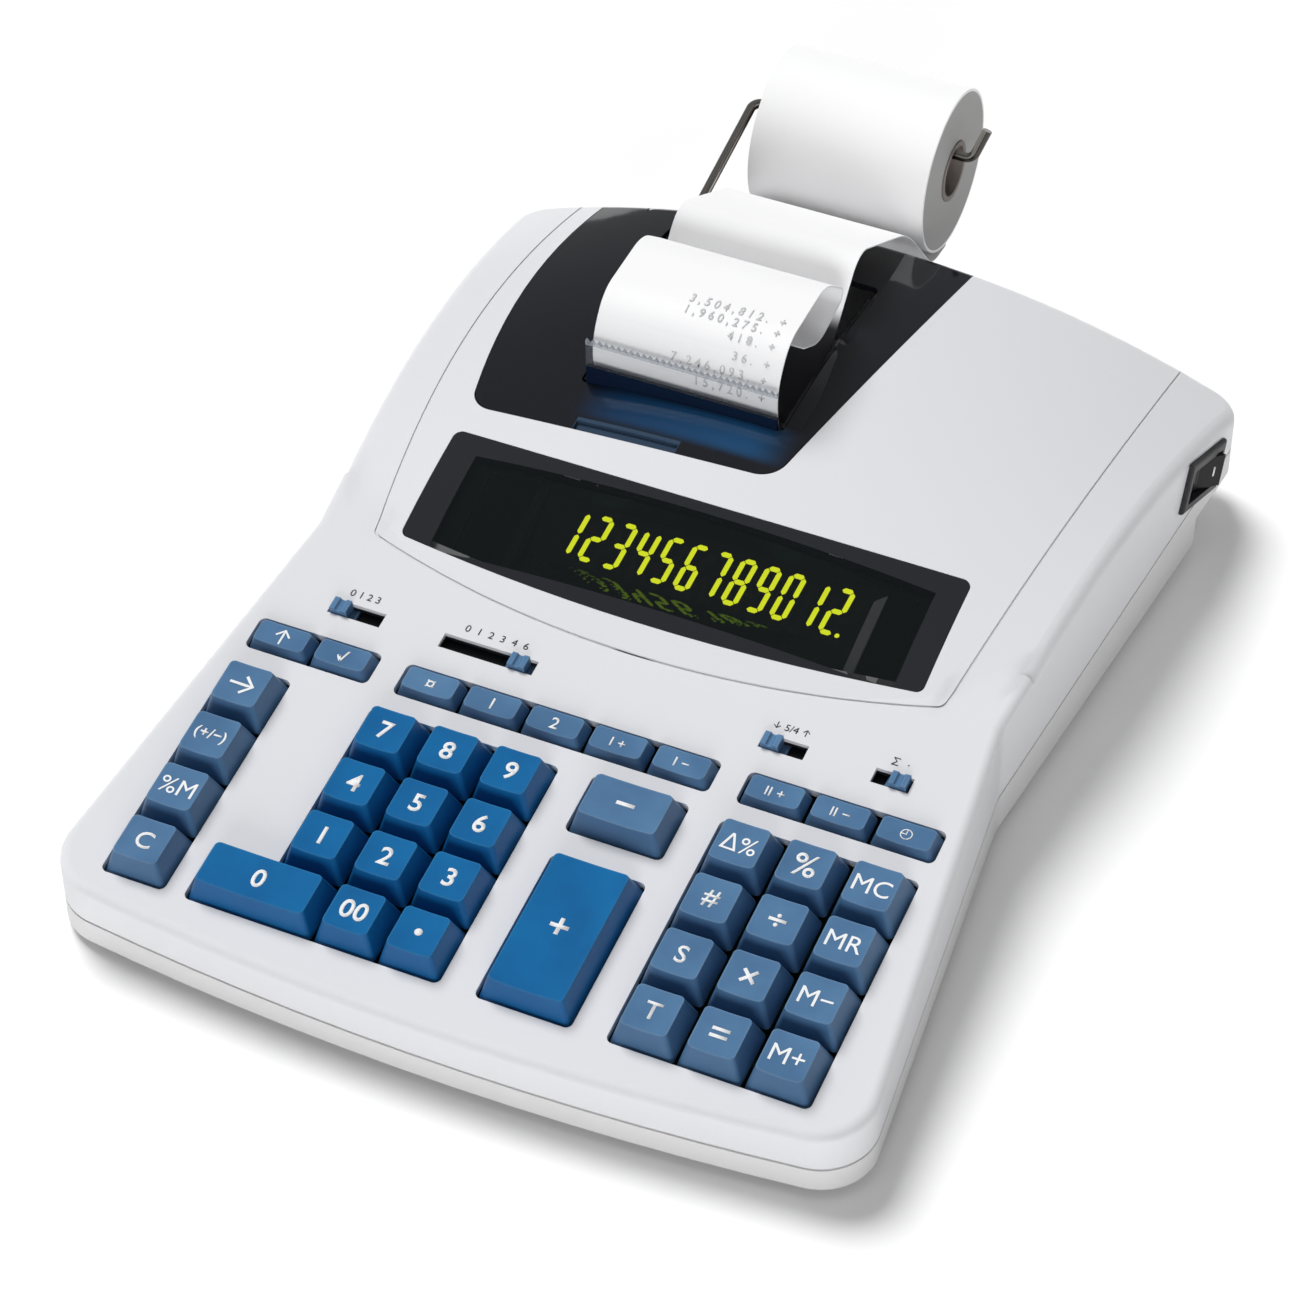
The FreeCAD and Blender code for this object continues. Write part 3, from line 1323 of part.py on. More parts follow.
def power_switch_body():
    length, width = size("switch_length"), size("switch_width")
    bezel = box_between(-0.0, 1.6, -length / 2, length / 2, -width / 2, width / 2)
    bezel = bezel.makeFillet(1.0, [e for e in bezel.Edges if all(v.X > 1 for v in e.Vertexes)])
    neck_length = length - 2 * SWITCH_RIM - 0.4
    neck_width = width - 2 * SWITCH_RIM - 0.4
    neck = box_between(-size("switch_depth"), 0.2, -neck_length / 2, neck_length / 2,
                       -neck_width / 2, neck_width / 2)
    body = bezel.fuse(neck)
    gap = size("slide_gap")
    hollow_length = size("rocker_length") + 2 * gap + 1.6
    hollow_width = size("rocker_width") + 2 * gap
    hollow = box_between(-9.0, 3.0, -hollow_length / 2, hollow_length / 2,
                         -hollow_width / 2, hollow_width / 2)
    pin_hole = Part.makeCylinder(1.2 + size("bearing_gap"), hollow_width + 1.4,
                                 Vector(-ROCKER_SINK, 0, -hollow_width / 2 - 0.7), Z_AXIS)
    return body.cut([hollow, pin_hole])


new_shape("power_switch_body", power_switch_body(), CASING.multiply(switch_frame()))


def power_rocker():
    """A two-sided rocker, leaning so that its rear half stands out."""
    half = size("rocker_length") / 2
    lean = math.radians(size("rocker_swing"))
    rise = 2.2
    low = -6.0
    outline = [
        (rise - 1.2, 0.0),
        (rise + 0.9, half),
        (rise - 3.0, half + 0.4),
        (low, half * 0.4),
        (low, -half * 0.4),
        (rise - 3.0, -half - 0.4),
        (rise + 0.9, -half),
    ]
    width = size("rocker_width")
    points = [Vector(x, y, -width / 2) for x, y in outline]
    rocker = Part.Face(Part.makePolygon(points + points[:1])).extrude(Vector(0, 0, width))
    gap = size("slide_gap")
    pin_length = width + 2 * gap + 1.0
    pin = Part.makeCylinder(1.2, pin_length, Vector(0, 0, -pin_length / 2), Z_AXIS)
    rocker = rocker.fuse(pin)
    rocker.Placement = Placement(Vector(), Rotation(Z_AXIS, -math.degrees(lean)))
    return Part.Compound([rocker]).Solids[0]


rocker_place = switch_frame().multiply(Placement(Vector(-ROCKER_SINK, 0, 0), Rotation()))
rocker_shape = power_rocker()
new_shape("power_rocker", Part.Compound([rocker_shape]), CASING.multiply(rocker_place))


# Check and write every sub-part

def sub_parts():
    """Labelled pieces, in the order in which they were made."""
    listed = list(key_nodes)
    names = {feature.Name for feature in key_nodes}
    for item in doc.Objects:
        if item.Name in names or item.Label.startswith("form_"):
            continue
        is_body = item.TypeId == "PartDesign::Body"
        is_piece = item.TypeId in ("Part::Feature", "Part::Compound")
        if is_body or is_piece:
            listed.append(item)
    return listed


doc.recompute()
for item in doc.Objects:
    if "Invalid" in item.State or "Error" in item.State:
        raise RuntimeError(f"{item.Label} failed: {item.State}")

os.makedirs("parts", exist_ok=True)
triangles = 0
for item in sub_parts():
    shape = item.Shape
    if shape.isNull() or not shape.isValid() or not shape.Solids:
        raise RuntimeError(f"{item.Label} has no valid shape")
    shape.exportStep(f"parts/{item.Label}.step")
    triangles += len(shape.tessellate(0.4)[1])
    print(f"{item.Label:22s} solids {len(shape.Solids)}  volume {shape.Volume:10.1f}")
print("nodes", len(sub_parts()), "triangles", triangles)
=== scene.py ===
import math

import bpy
from mathutils import Matrix, Vector


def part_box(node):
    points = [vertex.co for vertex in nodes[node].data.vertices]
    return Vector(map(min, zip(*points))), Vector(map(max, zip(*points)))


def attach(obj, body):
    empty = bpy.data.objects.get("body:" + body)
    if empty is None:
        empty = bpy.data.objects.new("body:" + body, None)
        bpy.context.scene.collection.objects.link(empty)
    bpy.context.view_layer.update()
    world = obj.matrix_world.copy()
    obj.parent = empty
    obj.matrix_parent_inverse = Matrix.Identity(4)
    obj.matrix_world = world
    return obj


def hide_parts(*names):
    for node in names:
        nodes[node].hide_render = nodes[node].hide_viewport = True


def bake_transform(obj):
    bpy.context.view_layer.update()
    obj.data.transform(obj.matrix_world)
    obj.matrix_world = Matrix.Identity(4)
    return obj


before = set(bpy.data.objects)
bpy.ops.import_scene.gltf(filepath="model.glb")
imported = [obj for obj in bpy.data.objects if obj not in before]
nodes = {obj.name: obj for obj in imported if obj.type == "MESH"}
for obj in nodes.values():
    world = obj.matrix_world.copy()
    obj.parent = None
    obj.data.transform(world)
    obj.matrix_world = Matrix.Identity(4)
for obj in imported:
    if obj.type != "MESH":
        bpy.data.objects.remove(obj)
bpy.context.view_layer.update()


# Upper and lower casing
# Two injection-moulded shells of off-white plastic with a fine spark-eroded texture. They
# meet at a groove round the sides, and screws in the floor hold them together.

class Value:
    """The output of a node, so that shader maths reads as plain expressions."""

    def __init__(self, finish, socket):
        self.finish = finish
        self.socket = socket

    def math(self, operation, first, second):
        return self.finish.node("ShaderNodeMath", {"operation": operation}, {0: first, 1: second})

    def __add__(self, other):
        return self.math("ADD", self, other)

    def __radd__(self, other):
        return self.math("ADD", other, self)

    def __sub__(self, other):
        return self.math("SUBTRACT", self, other)

    def __rsub__(self, other):
        return self.math("SUBTRACT", other, self)

    def __mul__(self, other):
        return self.math("MULTIPLY", self, other)

    def __rmul__(self, other):
        return self.math("MULTIPLY", other, self)

    def __gt__(self, other):
        return self.math("GREATER_THAN", self, other)

    def __lt__(self, other):
        return self.math("LESS_THAN", self, other)


class Finish:
    """A material whose nodes are added by one method."""

    def __init__(self, name, **sockets):
        self.material = bpy.data.materials.new(name)
        self.material.use_nodes = True
        self.tree = self.material.node_tree
        self.shader = self.tree.nodes["Principled BSDF"]
        self.place = self.node("ShaderNodeTexCoord", output="Object")
        for socket, value in sockets.items():
            self.set(socket.replace("_", " "), value)

    def node(self, kind, settings=None, sockets=None, output=0):
        made = self.tree.nodes.new(kind)
        for name, value in (settings or {}).items():
            if name == "stops":
                self.set_stops(made.color_ramp, value)
            else:
                setattr(made, name, value)
        for name, value in (sockets or {}).items():
            self.feed(made.inputs[name], value)
        return Value(self, made.outputs[output])

    def set_stops(self, ramp, stops):
        while len(ramp.elements) < len(stops):
            ramp.elements.new(1.0)
        for element, (position, colour) in zip(ramp.elements, stops):
            element.position = position
            element.color = (*colour, 1.0)

    def feed(self, socket, value):
        if isinstance(value, Value):
            self.tree.links.new(value.socket, socket)
        elif isinstance(value, tuple) and len(value) == 3 and socket.type == "RGBA":
            socket.default_value = (*value, 1.0)
        else:
            socket.default_value = value

    def set(self, socket, value):
        self.feed(self.shader.inputs[socket], value)

    def axis(self, name):
        return self.node("ShaderNodeSeparateXYZ", None, {"Vector": self.place}, output=name)

    def noise(self, scale, detail=2.0):
        return self.node("ShaderNodeTexNoise", None,
                         {"Vector": self.place, "Scale": scale, "Detail": detail})

    def mix(self, share, first, second):
        return self.node("ShaderNodeMix", {"data_type": "RGBA"},
                         {"Factor": share, 6: first, 7: second}, output=2)

    def ramp(self, value, start, end, kind="SMOOTHSTEP"):
        """Goes from 0 where the value is at the start to 1 where it is at the end."""
        return self.node("ShaderNodeMapRange", {"interpolation_type": kind},
                         {"Value": value, "From Min": start, "From Max": end})

    def facing_up(self):
        """1 where the surface faces up, 0 where it is upright, -1 where it faces down."""
        facing = self.node("ShaderNodeNewGeometry", output="Normal")
        return self.node("ShaderNodeSeparateXYZ", None, {"Vector": facing}, output="Z")

    def rounded(self, radius, samples=4):
        """The normal that edges have if they are rounded to this radius."""
        return self.node("ShaderNodeBevel", {"samples": samples}, {"Radius": radius})

    def bump(self, height, distance, strength=1.0, edge=0.0003):
        """Surface relief, over edges that catch the light as if softly rounded."""
        self.relief(height, distance, strength, self.rounded(edge))

    def relief(self, height, distance, strength, normal):
        raised = self.node("ShaderNodeBump", None,
                           {"Height": height, "Distance": distance, "Strength": strength,
                            "Normal": normal})
        self.set("Normal", raised)


def dress(finish, *names):
    """Gives the CAD nodes of these names a finish."""
    for name in names:
        node = nodes[name]
        node.data.materials.clear()
        node.data.materials.append(finish.material)


def between(value, low, high):
    return (value > low) * (value < high)


def moulded(name, colour, shade, roughness=0.42, grain=0.00004, grain_scale=2600.0):
    """Injection-moulded plastic: a fine even texture, and a slight change of tone."""
    finish = Finish(name)
    cloud = finish.noise(9.0)
    finish.set("Base Color", finish.mix(cloud, shade, colour))
    fine = finish.noise(grain_scale, 1.0)
    finish.set("Roughness", roughness - 0.04 + 0.08 * fine)
    finish.bump(fine, grain, 0.5)
    return finish


# Where the key deck starts, and where the window's surface crosses the middle of its front.
DECK_SLOPE = math.radians(8.1)
DECK_START = Vector((0.0, -0.176, 0.0244))
WINDOW_FRONT = Vector((0.0, -0.046, 0.0469))
WINDOW_SLOPE = 0.326
WINDOW_CROWN = 1.6

# Where the casing is coloured dark as painted shade: in the switch slots below the deck, and
# inside the hump round the display.
SLOT_RUN = (0.1005, 0.1095)
SLOT_SHADE_LEVEL = -0.0012
HUMP_SHADE_Y = (-0.058, -0.003)
HUMP_SHADE_LEVEL = -0.0021
SHADE_HALF_WIDTH = 0.092


def window_level(x, y):
    """Height of the window's surface, which rises to the back and falls off to both sides."""
    return WINDOW_FRONT.z + WINDOW_SLOPE * (y - WINDOW_FRONT.y) - WINDOW_CROWN * x * x


def shield_paint(finish):
    """Painted shade: dark colour inside the switch slots and round the display, where a white wall
    would shine.
    """
    x, y, z = finish.axis("X"), finish.axis("Y"), finish.axis("Z")
    ahead, above = y - DECK_START.y, z - DECK_START.z
    run = ahead * math.cos(DECK_SLOPE) + above * math.sin(DECK_SLOPE)
    level = above * math.cos(DECK_SLOPE) - ahead * math.sin(DECK_SLOPE)
    in_slots = (level < SLOT_SHADE_LEVEL) * between(run, *SLOT_RUN)
    in_hump = (z - window_level(x, y) < HUMP_SHADE_LEVEL) * between(y, *HUMP_SHADE_Y)
    inside = between(x, -SHADE_HALF_WIDTH, SHADE_HALF_WIDTH)
    return inside * finish.node("ShaderNodeMath", {"operation": "MAXIMUM"},
                                {0: in_slots, 1: in_hump})


# The line where deck and hump meet, as y = middle + bow * x^2 + turn * x^4, and the squared
# distances over which its soft band comes in.
JUNCTION_MIDDLE = -0.0602
JUNCTION_BOW = 0.8
JUNCTION_TURN = 236.0
JUNCTION_FLANK = (0.0066, 0.0074)
JUNCTION_RIM = (0.0114, 0.0104)
JUNCTION_REACH = (0.0001, 0.00003)
JUNCTION_RADIUS = 0.009


def blend_band(finish):
    """Two bands on the flanks, where the key deck runs into the hump in a wide curve."""
    x, y = finish.axis("X"), finish.axis("Y")
    square = x * x
    line = JUNCTION_MIDDLE + JUNCTION_BOW * square + JUNCTION_TURN * square * square
    beyond = y - line
    flank = finish.ramp(square, *JUNCTION_FLANK)
    rim = finish.ramp(square, *JUNCTION_RIM)
    return flank * rim * finish.ramp(beyond * beyond, *JUNCTION_REACH)


def casing_plastic():
    finish = Finish("casing_plastic", Coat_Weight=0.12, Coat_Roughness=0.3)
    tone = finish.mix(finish.noise(9.0), (0.71, 0.715, 0.74), (0.73, 0.735, 0.76))
    # Painted shade darkens the casing inside the switch slots and round the display.
    finish.set("Base Color", finish.mix(shield_paint(finish), tone, (0.018, 0.02, 0.026)))
    spark = finish.noise(2600.0, 1.0)
    finish.set("Roughness", 0.38 + 0.08 * spark)
    normal = finish.node("ShaderNodeMix", {"data_type": "VECTOR"},
                         {"Factor": blend_band(finish), 4: finish.rounded(0.0003),
                          5: finish.rounded(JUNCTION_RADIUS, 8)}, output=1)
    finish.relief(spark, 0.00004, 0.5, normal)
    return finish


dress(casing_plastic(), "upper_casing")
dress(moulded("tray_plastic", (0.70, 0.695, 0.70), (0.68, 0.675, 0.68), 0.48), "lower_casing")


# Rubber feet
# Four discs of black rubber, each glued into a shallow recess of the floor. They lift the
# casing off the table and keep it from sliding.

feet = moulded("foot_rubber", (0.03, 0.03, 0.032), (0.022, 0.022, 0.024), 0.8, 0.0001, 900.0)
dress(feet, "rubber_feet")


# Circuit board and key guides
# A green board inside the casing, with a socket under each key that guides its stem. It only
# shows as a dark floor between the keys.

board = moulded("board_green", (0.03, 0.09, 0.05), (0.02, 0.06, 0.035), 0.4)
dress(board, "circuit_board")


# Keys
# Hollow two-shot caps with dished tops. The number keys and the plus key are bright blue, all
# others slate blue. The white legends are moulded through the top.

PRINT_LIFT = 0.00004
PRINT_THICKNESS = 0.00005
PRINT_DROP = 0.004
KEY_EDGE = 0.0005
# Radius of the rims that get the painted highlight, how far a face turns up before it loses the
# painted side shade, and how far a rim turns before its highlight is full.
KEY_RIM = 0.0008
KEY_TOP_FACING = (0.62, 0.97)
KEY_RIM_TURN = (0.99, 0.88)
LEGEND_FORWARD = 0.0008

# Height of a legend, and what its strokes gain in width.
PLAIN_LEGEND = (0.0076, 0.00009)
BOLD_LEGEND = (0.0080, 0.00016)
SMALL_LEGEND = (0.0054, 0.00005)
LONG_SHARE = 0.62
LONG_SMALL_SHARE = 0.8
SIGN_SHARE = 1.35
KEY_RISE = 0.0085
SMALL_KEY_RISE = 0.0045


def key_plastic(name, colour, deep, rim_highlight):
    """Satin plastic, with painted shade on its sides and a paler painted highlight on its upper
    rims.
    """
    finish = Finish(name)
    cloud = finish.noise(60.0, 3.0)
    base = finish.mix(cloud, deep, colour)
    # Painted shade: faces that do not look up are mixed part way to the deep colour.
    top = finish.ramp(finish.facing_up(), *KEY_TOP_FACING)
    body = finish.mix(top, finish.mix(0.55, base, deep), base)
    # Painted highlight: a paler colour where the rounded rims turn away from the flat faces.
    flat = finish.node("ShaderNodeNewGeometry", output="True Normal")
    alike = finish.node("ShaderNodeVectorMath", {"operation": "DOT_PRODUCT"},
                        {0: finish.rounded(KEY_RIM), 1: flat}, output="Value")
    rim = finish.ramp(alike, *KEY_RIM_TURN, "LINEAR")
    finish.set("Base Color", finish.mix(rim * 0.5, body, rim_highlight))
    fine = finish.noise(2400.0, 1.0)
    finish.set("Roughness", 0.38 + 0.08 * fine)
    finish.set("Specular IOR Level", 0.35)
    finish.bump(fine, 0.00003, 0.4, KEY_EDGE)
    return finish


# Each key plastic has its colour, a deep colour for its random tone and the painted shade on its
# sides, and the colour of the painted highlight on its rims.
bright_blue = key_plastic("bright_blue_keys", (0.006, 0.16, 0.40), (0.006, 0.085, 0.25),
                          (0.06, 0.27, 0.50))
slate_blue = key_plastic("slate_blue_keys", (0.115, 0.245, 0.42), (0.045, 0.11, 0.225),
                         (0.24, 0.37, 0.53))
LEGENDS = {
    "key_7": "7", "key_8": "8", "key_9": "9",
    "key_4": "4", "key_5": "5", "key_6": "6",
    "key_1": "1", "key_2": "2", "key_3": "3",
    "key_0": "0", "key_00": "00", "key_point": "•",
    "key_plus": "+", "key_minus": "−",
    "key_total": "T", "key_subtotal": "S", "key_number_date": "#",
    "key_percent_change": "Δ%",
    "key_equals": "=", "key_times": "×", "key_divide": "÷", "key_percent": "%",
    "key_memory_add": "M+", "key_memory_less": "M−", "key_memory_recall": "MR",
    "key_memory_clear": "MC",
    "key_clear": "C", "key_margin": "%M", "key_sign": "(+/−)", "key_backspace": "→",
    "key_paper_feed": "↑", "key_root": "√",
    "key_currency": "¤", "key_local": "1", "key_rate": "2",
    "key_tax_1_add": "I +", "key_tax_1_less": "I −",
    "key_tax_2_add": "II +", "key_tax_2_less": "II −", "key_clock": "◴",
}
BRIGHT = ["key_" + str(digit) for digit in range(10)] + ["key_00", "key_point", "key_plus"]
BOLD = BRIGHT + ["key_minus"]
SMALL = ["key_paper_feed", "key_root", "key_currency", "key_local", "key_rate", "key_tax_1_add",
         "key_tax_1_less", "key_tax_2_add", "key_tax_2_less", "key_clock"]
THIN_SIGNS = "MΔ→↑"
LARGE_SIGNS = "×÷=−+%→↑"
key_names = sorted(LEGENDS)
dress(slate_blue, *[name for name in key_names if name not in BRIGHT])
dress(bright_blue, *BRIGHT)

white_print = Finish("white_print", Roughness=0.5)
white_print.set("Base Color", white_print.mix(white_print.noise(800.0), (0.80, 0.82, 0.84),
                                              (0.88, 0.89, 0.90)))


def deselect():
    bpy.ops.object.select_all(action="DESELECT")


def lettering(name, text, height, weight=0.0, spacing=1.0):
    """Flat letters as a mesh, centred on their own origin in the XY plane."""
    deselect()
    bpy.ops.object.text_add()
    letters = bpy.context.object
    letters.name = name
    letters.data.body = text
    letters.data.space_character = spacing
    letters.data.offset = weight / height
    letters.data.resolution_u = 4
    bpy.ops.object.convert(target="MESH")
    letters = bpy.context.object
    letters.data.transform(Matrix.Scale(height, 4))
    bpy.context.view_layer.update()
    corners = [Vector(corner) for corner in letters.bound_box]
    low = Vector(min(c[i] for c in corners) for i in range(3))
    high = Vector(max(c[i] for c in corners) for i in range(3))
    letters.data.transform(Matrix.Translation(-(low + high) / 2))
    return letters


def lay_on(piece, place, surface, finish, body, lift=PRINT_LIFT):
    """Drops a flat piece, from its place and along its own Z, onto a node as thin print."""
    piece.matrix_world = place
    wrap = piece.modifiers.new("lay", "SHRINKWRAP")
    wrap.target = surface
    wrap.wrap_method = "PROJECT"
    wrap.use_project_z = True
    wrap.use_negative_direction = True
    wrap.use_positive_direction = False
    wrap.offset = lift
    skin = piece.modifiers.new("skin", "SOLIDIFY")
    skin.thickness = PRINT_THICKNESS
    skin.offset = 1.0
    deselect()
    piece.select_set(True)
    bpy.context.view_layer.objects.active = piece
    bpy.ops.object.modifier_apply(modifier="lay")
    bpy.ops.object.modifier_apply(modifier="skin")
    bpy.ops.object.transform_apply()
    piece.data.materials.append(finish.material)
    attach(piece, body)


def legend_size(name):
    text, small = LEGENDS[name], name in SMALL
    height, weight = PLAIN_LEGEND
    if name in BOLD:
        height, weight = BOLD_LEGEND
    elif small:
        height, weight = SMALL_LEGEND
    if len(text) > 2:
        height *= LONG_SMALL_SHARE if small else LONG_SHARE
    if any(sign in text for sign in THIN_SIGNS):
        weight = 0.0
    if text in LARGE_SIGNS:
        height *= SIGN_SHARE
    return height, weight


def key_legend(name):
    low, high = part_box(name)
    height, weight = legend_size(name)
    letters = lettering("legend_" + name, LEGENDS[name], height, weight)
    rise = SMALL_KEY_RISE if name in SMALL else KEY_RISE
    middle = Vector(((low.x + high.x) / 2, (low.y + high.y) / 2 - rise * math.sin(DECK_SLOPE)
                     - LEGEND_FORWARD, high.z + PRINT_DROP))
    place = Matrix.Translation(middle) @ Matrix.Rotation(DECK_SLOPE, 4, "X")
    lay_on(letters, place, nodes[name], white_print, name)


for name in key_names:
    key_legend(name)


# Slide switches
# Moulded blue knobs that slide in slots of the deck. The marks for their positions are
# printed in black on the deck behind each slot.

dress(slate_blue, "slide_print_mode", "slide_decimal", "slide_rounding", "slide_grand_total")
dark_print = Finish("dark_print", Roughness=0.55)
dark_print.set("Base Color", dark_print.mix(dark_print.noise(900.0), (0.03, 0.03, 0.035),
                                            (0.07, 0.07, 0.075)))
MARK_RUN = 0.1112


def deck_mark(name, text, x, height):
    """Dark lettering on the key deck, behind a slot."""
    letters = lettering(name, text, height)
    turn = Matrix.Rotation(DECK_SLOPE, 4, "X")
    spot = Matrix.Translation((x, MARK_RUN, PRINT_DROP))
    lay_on(letters, Matrix.Translation(DECK_START) @ turn @ spot, nodes["upper_casing"],
           dark_print, "casing")


deck_mark("marks_print_mode", "0 1 2 3", -0.0790, 0.0034)
deck_mark("marks_decimal", "0  1  2  3  4  6", -0.0378, 0.0034)
deck_mark("marks_rounding", "↓ 5/4 ↑", 0.0515, 0.0032)
deck_mark("marks_grand_total", "Σ  ·", 0.0835, 0.0036)


# Display window
# A glossy smoked moulding that lies on a ledge of the casing, flush with the hump. It is
# painted black inside along its edges, so that only its middle can be looked through.

CLEAR_X = (-0.070, 0.072)
CLEAR_Y = (-0.0445, -0.0125)
window = Finish("smoked_window", Roughness=0.05)
clear_part = between(window.axis("X"), *CLEAR_X) * between(window.axis("Y"), *CLEAR_Y)
window_edge = window.mix(window.noise(12.0), (0.014, 0.015, 0.019), (0.018, 0.020, 0.025))
window.set("Alpha", 1.0 - 0.45 * clear_part)
window.set("Base Color", window.mix(clear_part, window_edge, (0.003, 0.006, 0.007)))
dress(window, "display_window")


# Display tube and its shroud
# A flat vacuum tube: a glass envelope with a dark inside, whose digits are seven lit green
# segments each. A moulded black shroud closes the space between tube and window, and its
# gloss mirrors the digits.

tube = Finish("tube_glass", Roughness=0.08, Coat_Weight=1.0, Coat_Roughness=0.03)
tube.set("Base Color", tube.mix(tube.noise(40.0), (0.006, 0.010, 0.009), (0.010, 0.016, 0.014)))
dress(tube, "display_tube")
TUBE_TILT = math.radians(25.0)
TUBE_MIDDLE = Vector((0.005, -0.0218, 0.0428))
TUBE_HALF_DEPTH = 0.003
DIGITS = "123456789012"
DIGIT_PITCH = 0.0074
DIGIT_WIDTH = 0.0037
DIGIT_HEIGHT = 0.0135
DIGIT_BASE = -0.0069
DIGIT_LEAN = 0.12
DIGIT_LIFT = 0.0001
STROKE = 0.0015
STROKE_POINT = 0.42
STROKE_GAP = 0.32
POINT_RADIUS = 0.0007
POINT_AWAY = 0.0016
DISPLAY_RIGHT = 0.0429
SEGMENTS = {
    "1": "bc", "2": "abged", "3": "abgcd", "4": "fgbc", "5": "afgcd", "6": "afgedc",
    "7": "abc", "8": "abcdefg", "9": "abgfcd", "0": "abcdef",
}
glow = Finish("lit_segment", Roughness=0.4)
glow.set("Base Color", (0.55, 0.62, 0.02))
glow.set("Emission Color", glow.mix(glow.noise(300.0), (0.62, 0.72, 0.01), (0.72, 0.80, 0.02)))
glow.set("Emission Strength", 4.4)


def segment(length):
    """One bar with pointed ends, lying on the XY plane along X."""
    deselect()
    bpy.ops.mesh.primitive_plane_add(size=1.0)
    bar = bpy.context.object
    bar.scale = (length - STROKE * STROKE_GAP, STROKE, 1.0)
    bpy.ops.object.transform_apply(location=False, rotation=False, scale=True)
    bpy.ops.object.mode_set(mode="EDIT")
    bpy.ops.mesh.select_all(action="SELECT")
    bpy.ops.mesh.bevel(offset=STROKE * STROKE_POINT, affect="VERTICES")
    bpy.ops.object.mode_set(mode="OBJECT")
    return bar


def bar_copy(bar, x, y):
    copy = bar.copy()
    copy.data = bar.data.copy()
    copy.data.transform(Matrix.Translation((x, y, 0.0)))
    bpy.context.scene.collection.objects.link(copy)
    return copy


def display_digits():
    """Twelve lit digits and a point, joined to one piece on the tube's face."""
    half, tall = DIGIT_WIDTH / 2, DIGIT_HEIGHT / 2
    level, upright = segment(DIGIT_WIDTH), segment(tall)
    upright.data.transform(Matrix.Rotation(math.pi / 2, 4, "Z"))
    places = {
        "a": (level, 0, 2 * tall), "g": (level, 0, tall), "d": (level, 0, 0),
        "b": (upright, half, 1.5 * tall), "c": (upright, half, 0.5 * tall),
        "f": (upright, -half, 1.5 * tall), "e": (upright, -half, 0.5 * tall),
    }
    bars = []
    for i, digit in enumerate(reversed(DIGITS)):
        middle = DISPLAY_RIGHT - i * DIGIT_PITCH - half
        for letter in SEGMENTS[digit]:
            bar, across, up = places[letter]
            bars.append(bar_copy(bar, middle + across, up))
    bpy.data.objects.remove(level)
    bpy.data.objects.remove(upright)
    deselect()
    bpy.ops.mesh.primitive_circle_add(vertices=12, radius=POINT_RADIUS, fill_type="NGON")
    digits = bpy.context.object
    digits.name = "display_digits"
    digits.data.transform(Matrix.Translation((DISPLAY_RIGHT + POINT_AWAY, 0.0, 0.0)))
    for bar in bars:
        bar.select_set(True)
    bpy.ops.object.join()
    lean = Matrix.Identity(4)
    lean[0][1] = DIGIT_LEAN
    turn = Matrix.Rotation(TUBE_TILT, 4, "X")
    face = TUBE_MIDDLE + turn @ Vector((0, 0, TUBE_HALF_DEPTH + DIGIT_LIFT))
    base = Matrix.Translation((0.0, DIGIT_BASE, 0.0))
    digits.data.transform(Matrix.Translation(face) @ turn @ base @ lean)
    digits.data.materials.append(glow.material)
    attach(digits, "casing")


display_digits()

SHROUD_X = (-0.0655, -0.0455, 0.0555, 0.0675)
SHROUD_Y = (-0.0435, -0.0125)
SHROUD_STEPS = 48
SHROUD_BELOW = 0.0030
SHROUD_REACH = 0.0098
SHROUD_SINK = 0.0003
shroud_black = Finish("shroud_plastic", Roughness=0.03)
# Its reflections are tinted green, a painted reflection of the digits' glow, on top of the mirror
# images that its gloss really gives.
shroud_black.set("Specular Tint", (0.25, 1.0, 0.45, 1.0))
shroud_black.set("Specular IOR Level", 0.7)
shroud_black.set("Base Color", shroud_black.mix(shroud_black.noise(30.0), (0.006, 0.008, 0.009),
                                                (0.011, 0.014, 0.016)))
shroud_matte = moulded("shroud_ends", (0.008, 0.009, 0.012), (0.005, 0.006, 0.008), 0.8)
shroud_matte.set("Specular IOR Level", 0.05)


def shroud_place(column, row):
    """Its outer rows and columns follow the window's underside, the others the tube's face."""
    share = min(max(column - 1, 0), SHROUD_STEPS) / SHROUD_STEPS
    x = SHROUD_X[1] + share * (SHROUD_X[2] - SHROUD_X[1])
    if column == 0:
        x = SHROUD_X[0]
    elif column == SHROUD_STEPS + 2:
        x = SHROUD_X[3]
    if row in (0, 3) or column in (0, SHROUD_STEPS + 2):
        y = SHROUD_Y[0] if row < 2 else SHROUD_Y[1]
        return Vector((x, y, window_level(x, y) - SHROUD_BELOW))
    up = -SHROUD_REACH if row == 1 else SHROUD_REACH
    turn = Matrix.Rotation(TUBE_TILT, 4, "X")
    place = TUBE_MIDDLE + turn @ Vector((0.0, up, TUBE_HALF_DEPTH - SHROUD_SINK))
    return Vector((x, place.y, place.z))


def display_shroud():
    deselect()
    bpy.ops.mesh.primitive_grid_add(x_subdivisions=SHROUD_STEPS + 2, y_subdivisions=3, size=2.0)
    shroud = bpy.context.object
    shroud.name = "display_shroud"
    for vertex in shroud.data.vertices:
        column = round((vertex.co.x + 1.0) / 2.0 * (SHROUD_STEPS + 2))
        row = round((vertex.co.y + 1.0) / 2.0 * 3)
        vertex.co = shroud_place(column, row)
    shroud.data.materials.append(shroud_black.material)
    shroud.data.materials.append(shroud_matte.material)
    for face in shroud.data.polygons:
        face.material_index = int(not SHROUD_X[1] < face.center.x < SHROUD_X[2])
    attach(shroud, "casing")


display_shroud()


